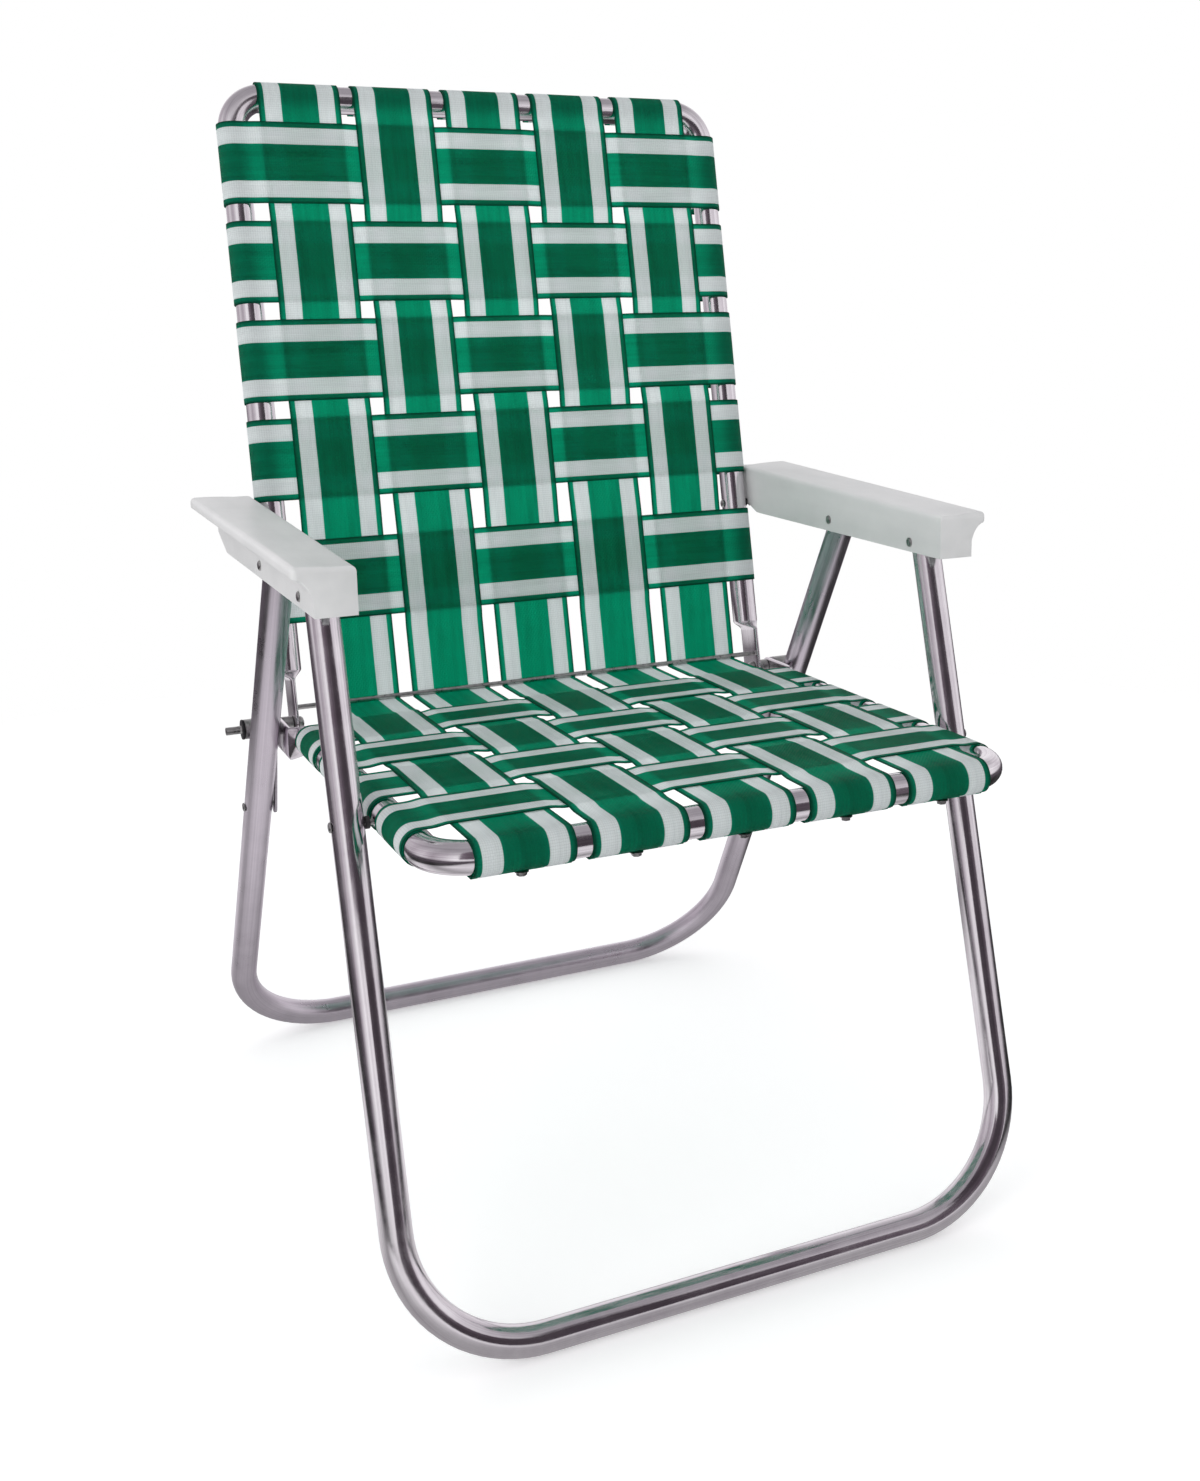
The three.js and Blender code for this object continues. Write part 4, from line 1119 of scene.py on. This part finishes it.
floor_corners = [(x * FLOOR_HALF, y * FLOOR_HALF, 0) for x, y in ((-1, -1), (1, -1), (1, 1), (-1, 1))]
floor = loose("floor", floor_corners, [(0, 1, 2, 3)])
floor.data.materials.append(pale_floor)
print("floor:", 2 * FLOOR_HALF, "m wide, clear beyond", SWEEP_END, "m")

# %% Dim wall, only in mirrored light
# Just in front of the camera's place, and the camera doesn't see it.
WALL_PLACE = -1.4
WALL_OUTLINE = ((-0.45, 0.001), (0.9, 0.001), (0.9, 0.65), (0.62, 1.0), (0.45, 1.05), (0.45, 2.0),
                (-1.1, 2.0), (-1.1, 0.60), (-0.45, 0.54))
WALL_GLOW = (0.060, 0.048, 0.058, 1)
wall = loose("dim_wall", [(x, WALL_PLACE, z) for x, z in WALL_OUTLINE], [tuple(range(len(WALL_OUTLINE)))])

dim_wall, tree, _ = finish_tree("dim_wall")
place = add(tree, "ShaderNodeTexCoord").outputs["Object"]
across = add(tree, "ShaderNodeSeparateXYZ", {"Vector": place}).outputs["X"]
left = remap(tree, across, -1.1, -0.15, 3.4, 1.0)
right = remap(tree, across, 0.35, 0.9, 1.0, 2.6)
strength = times(tree, left, right)
glow = add(tree, "ShaderNodeEmission", {"Color": WALL_GLOW, "Strength": strength})
surface(tree, glow.outputs[0])
wall.data.materials.append(dim_wall)
wall.visible_camera = wall.visible_diffuse = wall.visible_shadow = wall.visible_transmission = False
print("wall:", wall.name)

# %% Room light
# Angle round the chair from its front, and how bright the mirrored room is there.
ROOM = ((-180, 0.92), (-155, 0.60), (-130, 0.50), (-106, 0.74), (-86, 0.44), (-66, 0.62), (-46, 1.0),
        (-20, 0.9), (10, 0.9), (40, 0.74), (56, 0.82), (78, 0.96), (110, 0.70), (136, 0.92), (180, 0.92))
ROOM_HIGH = (0.38, 0.36, 0.385, 1)
ROOM_LOW = (0.09, 0.075, 0.09, 1)
# The light that falls on everything: from the front, from the rear and from overhead.
FROM_FRONT = (0.80, 0.80, 0.805, 1)
FROM_REAR = (1.50, 1.50, 1.51, 1)
FROM_ABOVE = (0.54, 0.54, 0.55, 1)

world = bpy.data.worlds.new("studio")
bpy.context.scene.world = world
world.use_nodes = True
tree = world.node_tree
way = add(tree, "ShaderNodeTexCoord").outputs["Generated"]
parts = add(tree, "ShaderNodeSeparateXYZ", {"Vector": way})
turn = maths(tree, "ARCTAN2", parts.outputs["X"], times(tree, parts.outputs["Y"], -1.0))
ramp = add(tree, "ShaderNodeValToRGB", {"Fac": remap(tree, turn, -math.pi, math.pi)})
elements = ramp.color_ramp.elements
while len(elements) < len(ROOM):
    elements.new(0.5)
for element, (angle, glow) in zip(elements, ROOM):
    element.position = (angle + 180) / 360
    element.color = (glow, glow * (0.84 + 0.14 * glow), glow * (0.98 + 0.02 * glow), 1)
height = remap(tree, parts.outputs["Z"], 0.35, 0.85)
mirrored = blend_colour(tree, height, ramp.outputs["Color"], ROOM_HIGH)
depth = remap(tree, parts.outputs["Z"], -0.12, -0.02, 1.0, 0.0)
mirrored = blend_colour(tree, depth, mirrored, ROOM_LOW)
rays = add(tree, "ShaderNodeLightPath")
plain = blend_colour(tree, remap(tree, parts.outputs["Y"], -0.6, 0.8), FROM_FRONT, FROM_REAR)
plain = blend_colour(tree, remap(tree, parts.outputs["Z"], 0.15, 1.0), plain, FROM_ABOVE)
colour = blend_colour(tree, rays.outputs["Is Glossy Ray"], plain, mirrored)
colour = blend_colour(tree, rays.outputs["Is Camera Ray"], colour, (1, 1, 1, 1))
feed(tree, tree.nodes["Background"], {"Color": colour})


def soft_light(name, place, target, size, power):
    data = bpy.data.lights.new(name, "AREA")
    data.shape, data.size, data.energy = "DISK", size, power
    light = bpy.data.objects.new(name, data)
    light.location = place
    light.rotation_euler = (Vector(target) - Vector(place)).to_track_quat("-Z", "Y").to_euler()
    light.visible_glossy = light.visible_camera = False
    bpy.context.scene.collection.objects.link(light)


soft_light("key", (-2.7, -1.9, 1.8), (0, 0, 0.4), 2.4, 32)
soft_light("top", (0.3, 0.1, 3.2), (0, 0, 0), 3.2, 7)
bpy.context.scene.view_settings.view_transform = "Standard"

# %% [markdown]
# The camera stands where the photographer stood: low, a step to the left of the middle. Its
# place, lens and shift were solved from points measured in the photograph, whose long side is
# its height.

# %% Camera
FOCAL = 1730.2
PHOTO = (1200, 1481)
CENTRE = (789.7, 616.9)
EYE = Vector((-548.7, -1465.2, 840.6)) * MM
YAW, PITCH, ROLL = (math.radians(a) for a in (27.503, 12.235, 0.116))
forward = Vector((math.sin(YAW) * math.cos(PITCH), math.cos(YAW) * math.cos(PITCH), -math.sin(PITCH)))
level_right = Vector((math.cos(YAW), -math.sin(YAW), 0))
level_up = level_right.cross(forward)
right = level_right * math.cos(ROLL) + level_up * math.sin(ROLL)
up = level_up * math.cos(ROLL) - level_right * math.sin(ROLL)
camera_data = bpy.data.cameras.new("camera")
camera = bpy.data.objects.new("camera", camera_data)
bpy.context.scene.collection.objects.link(camera)
camera.matrix_world = Matrix.Translation(EYE) @ Matrix((right, up, -forward)).transposed().to_4x4()
camera_data.sensor_width = 36
camera_data.lens = FOCAL / PHOTO[1] * camera_data.sensor_width
camera_data.shift_x = -(CENTRE[0] - PHOTO[0] / 2) / PHOTO[1]
camera_data.shift_y = (CENTRE[1] - PHOTO[1] / 2) / PHOTO[1]
camera_data.clip_start, camera_data.clip_end = 0.05, 60
bpy.context.scene.camera = camera
print("camera lens", round(camera_data.lens, 2), "mm")
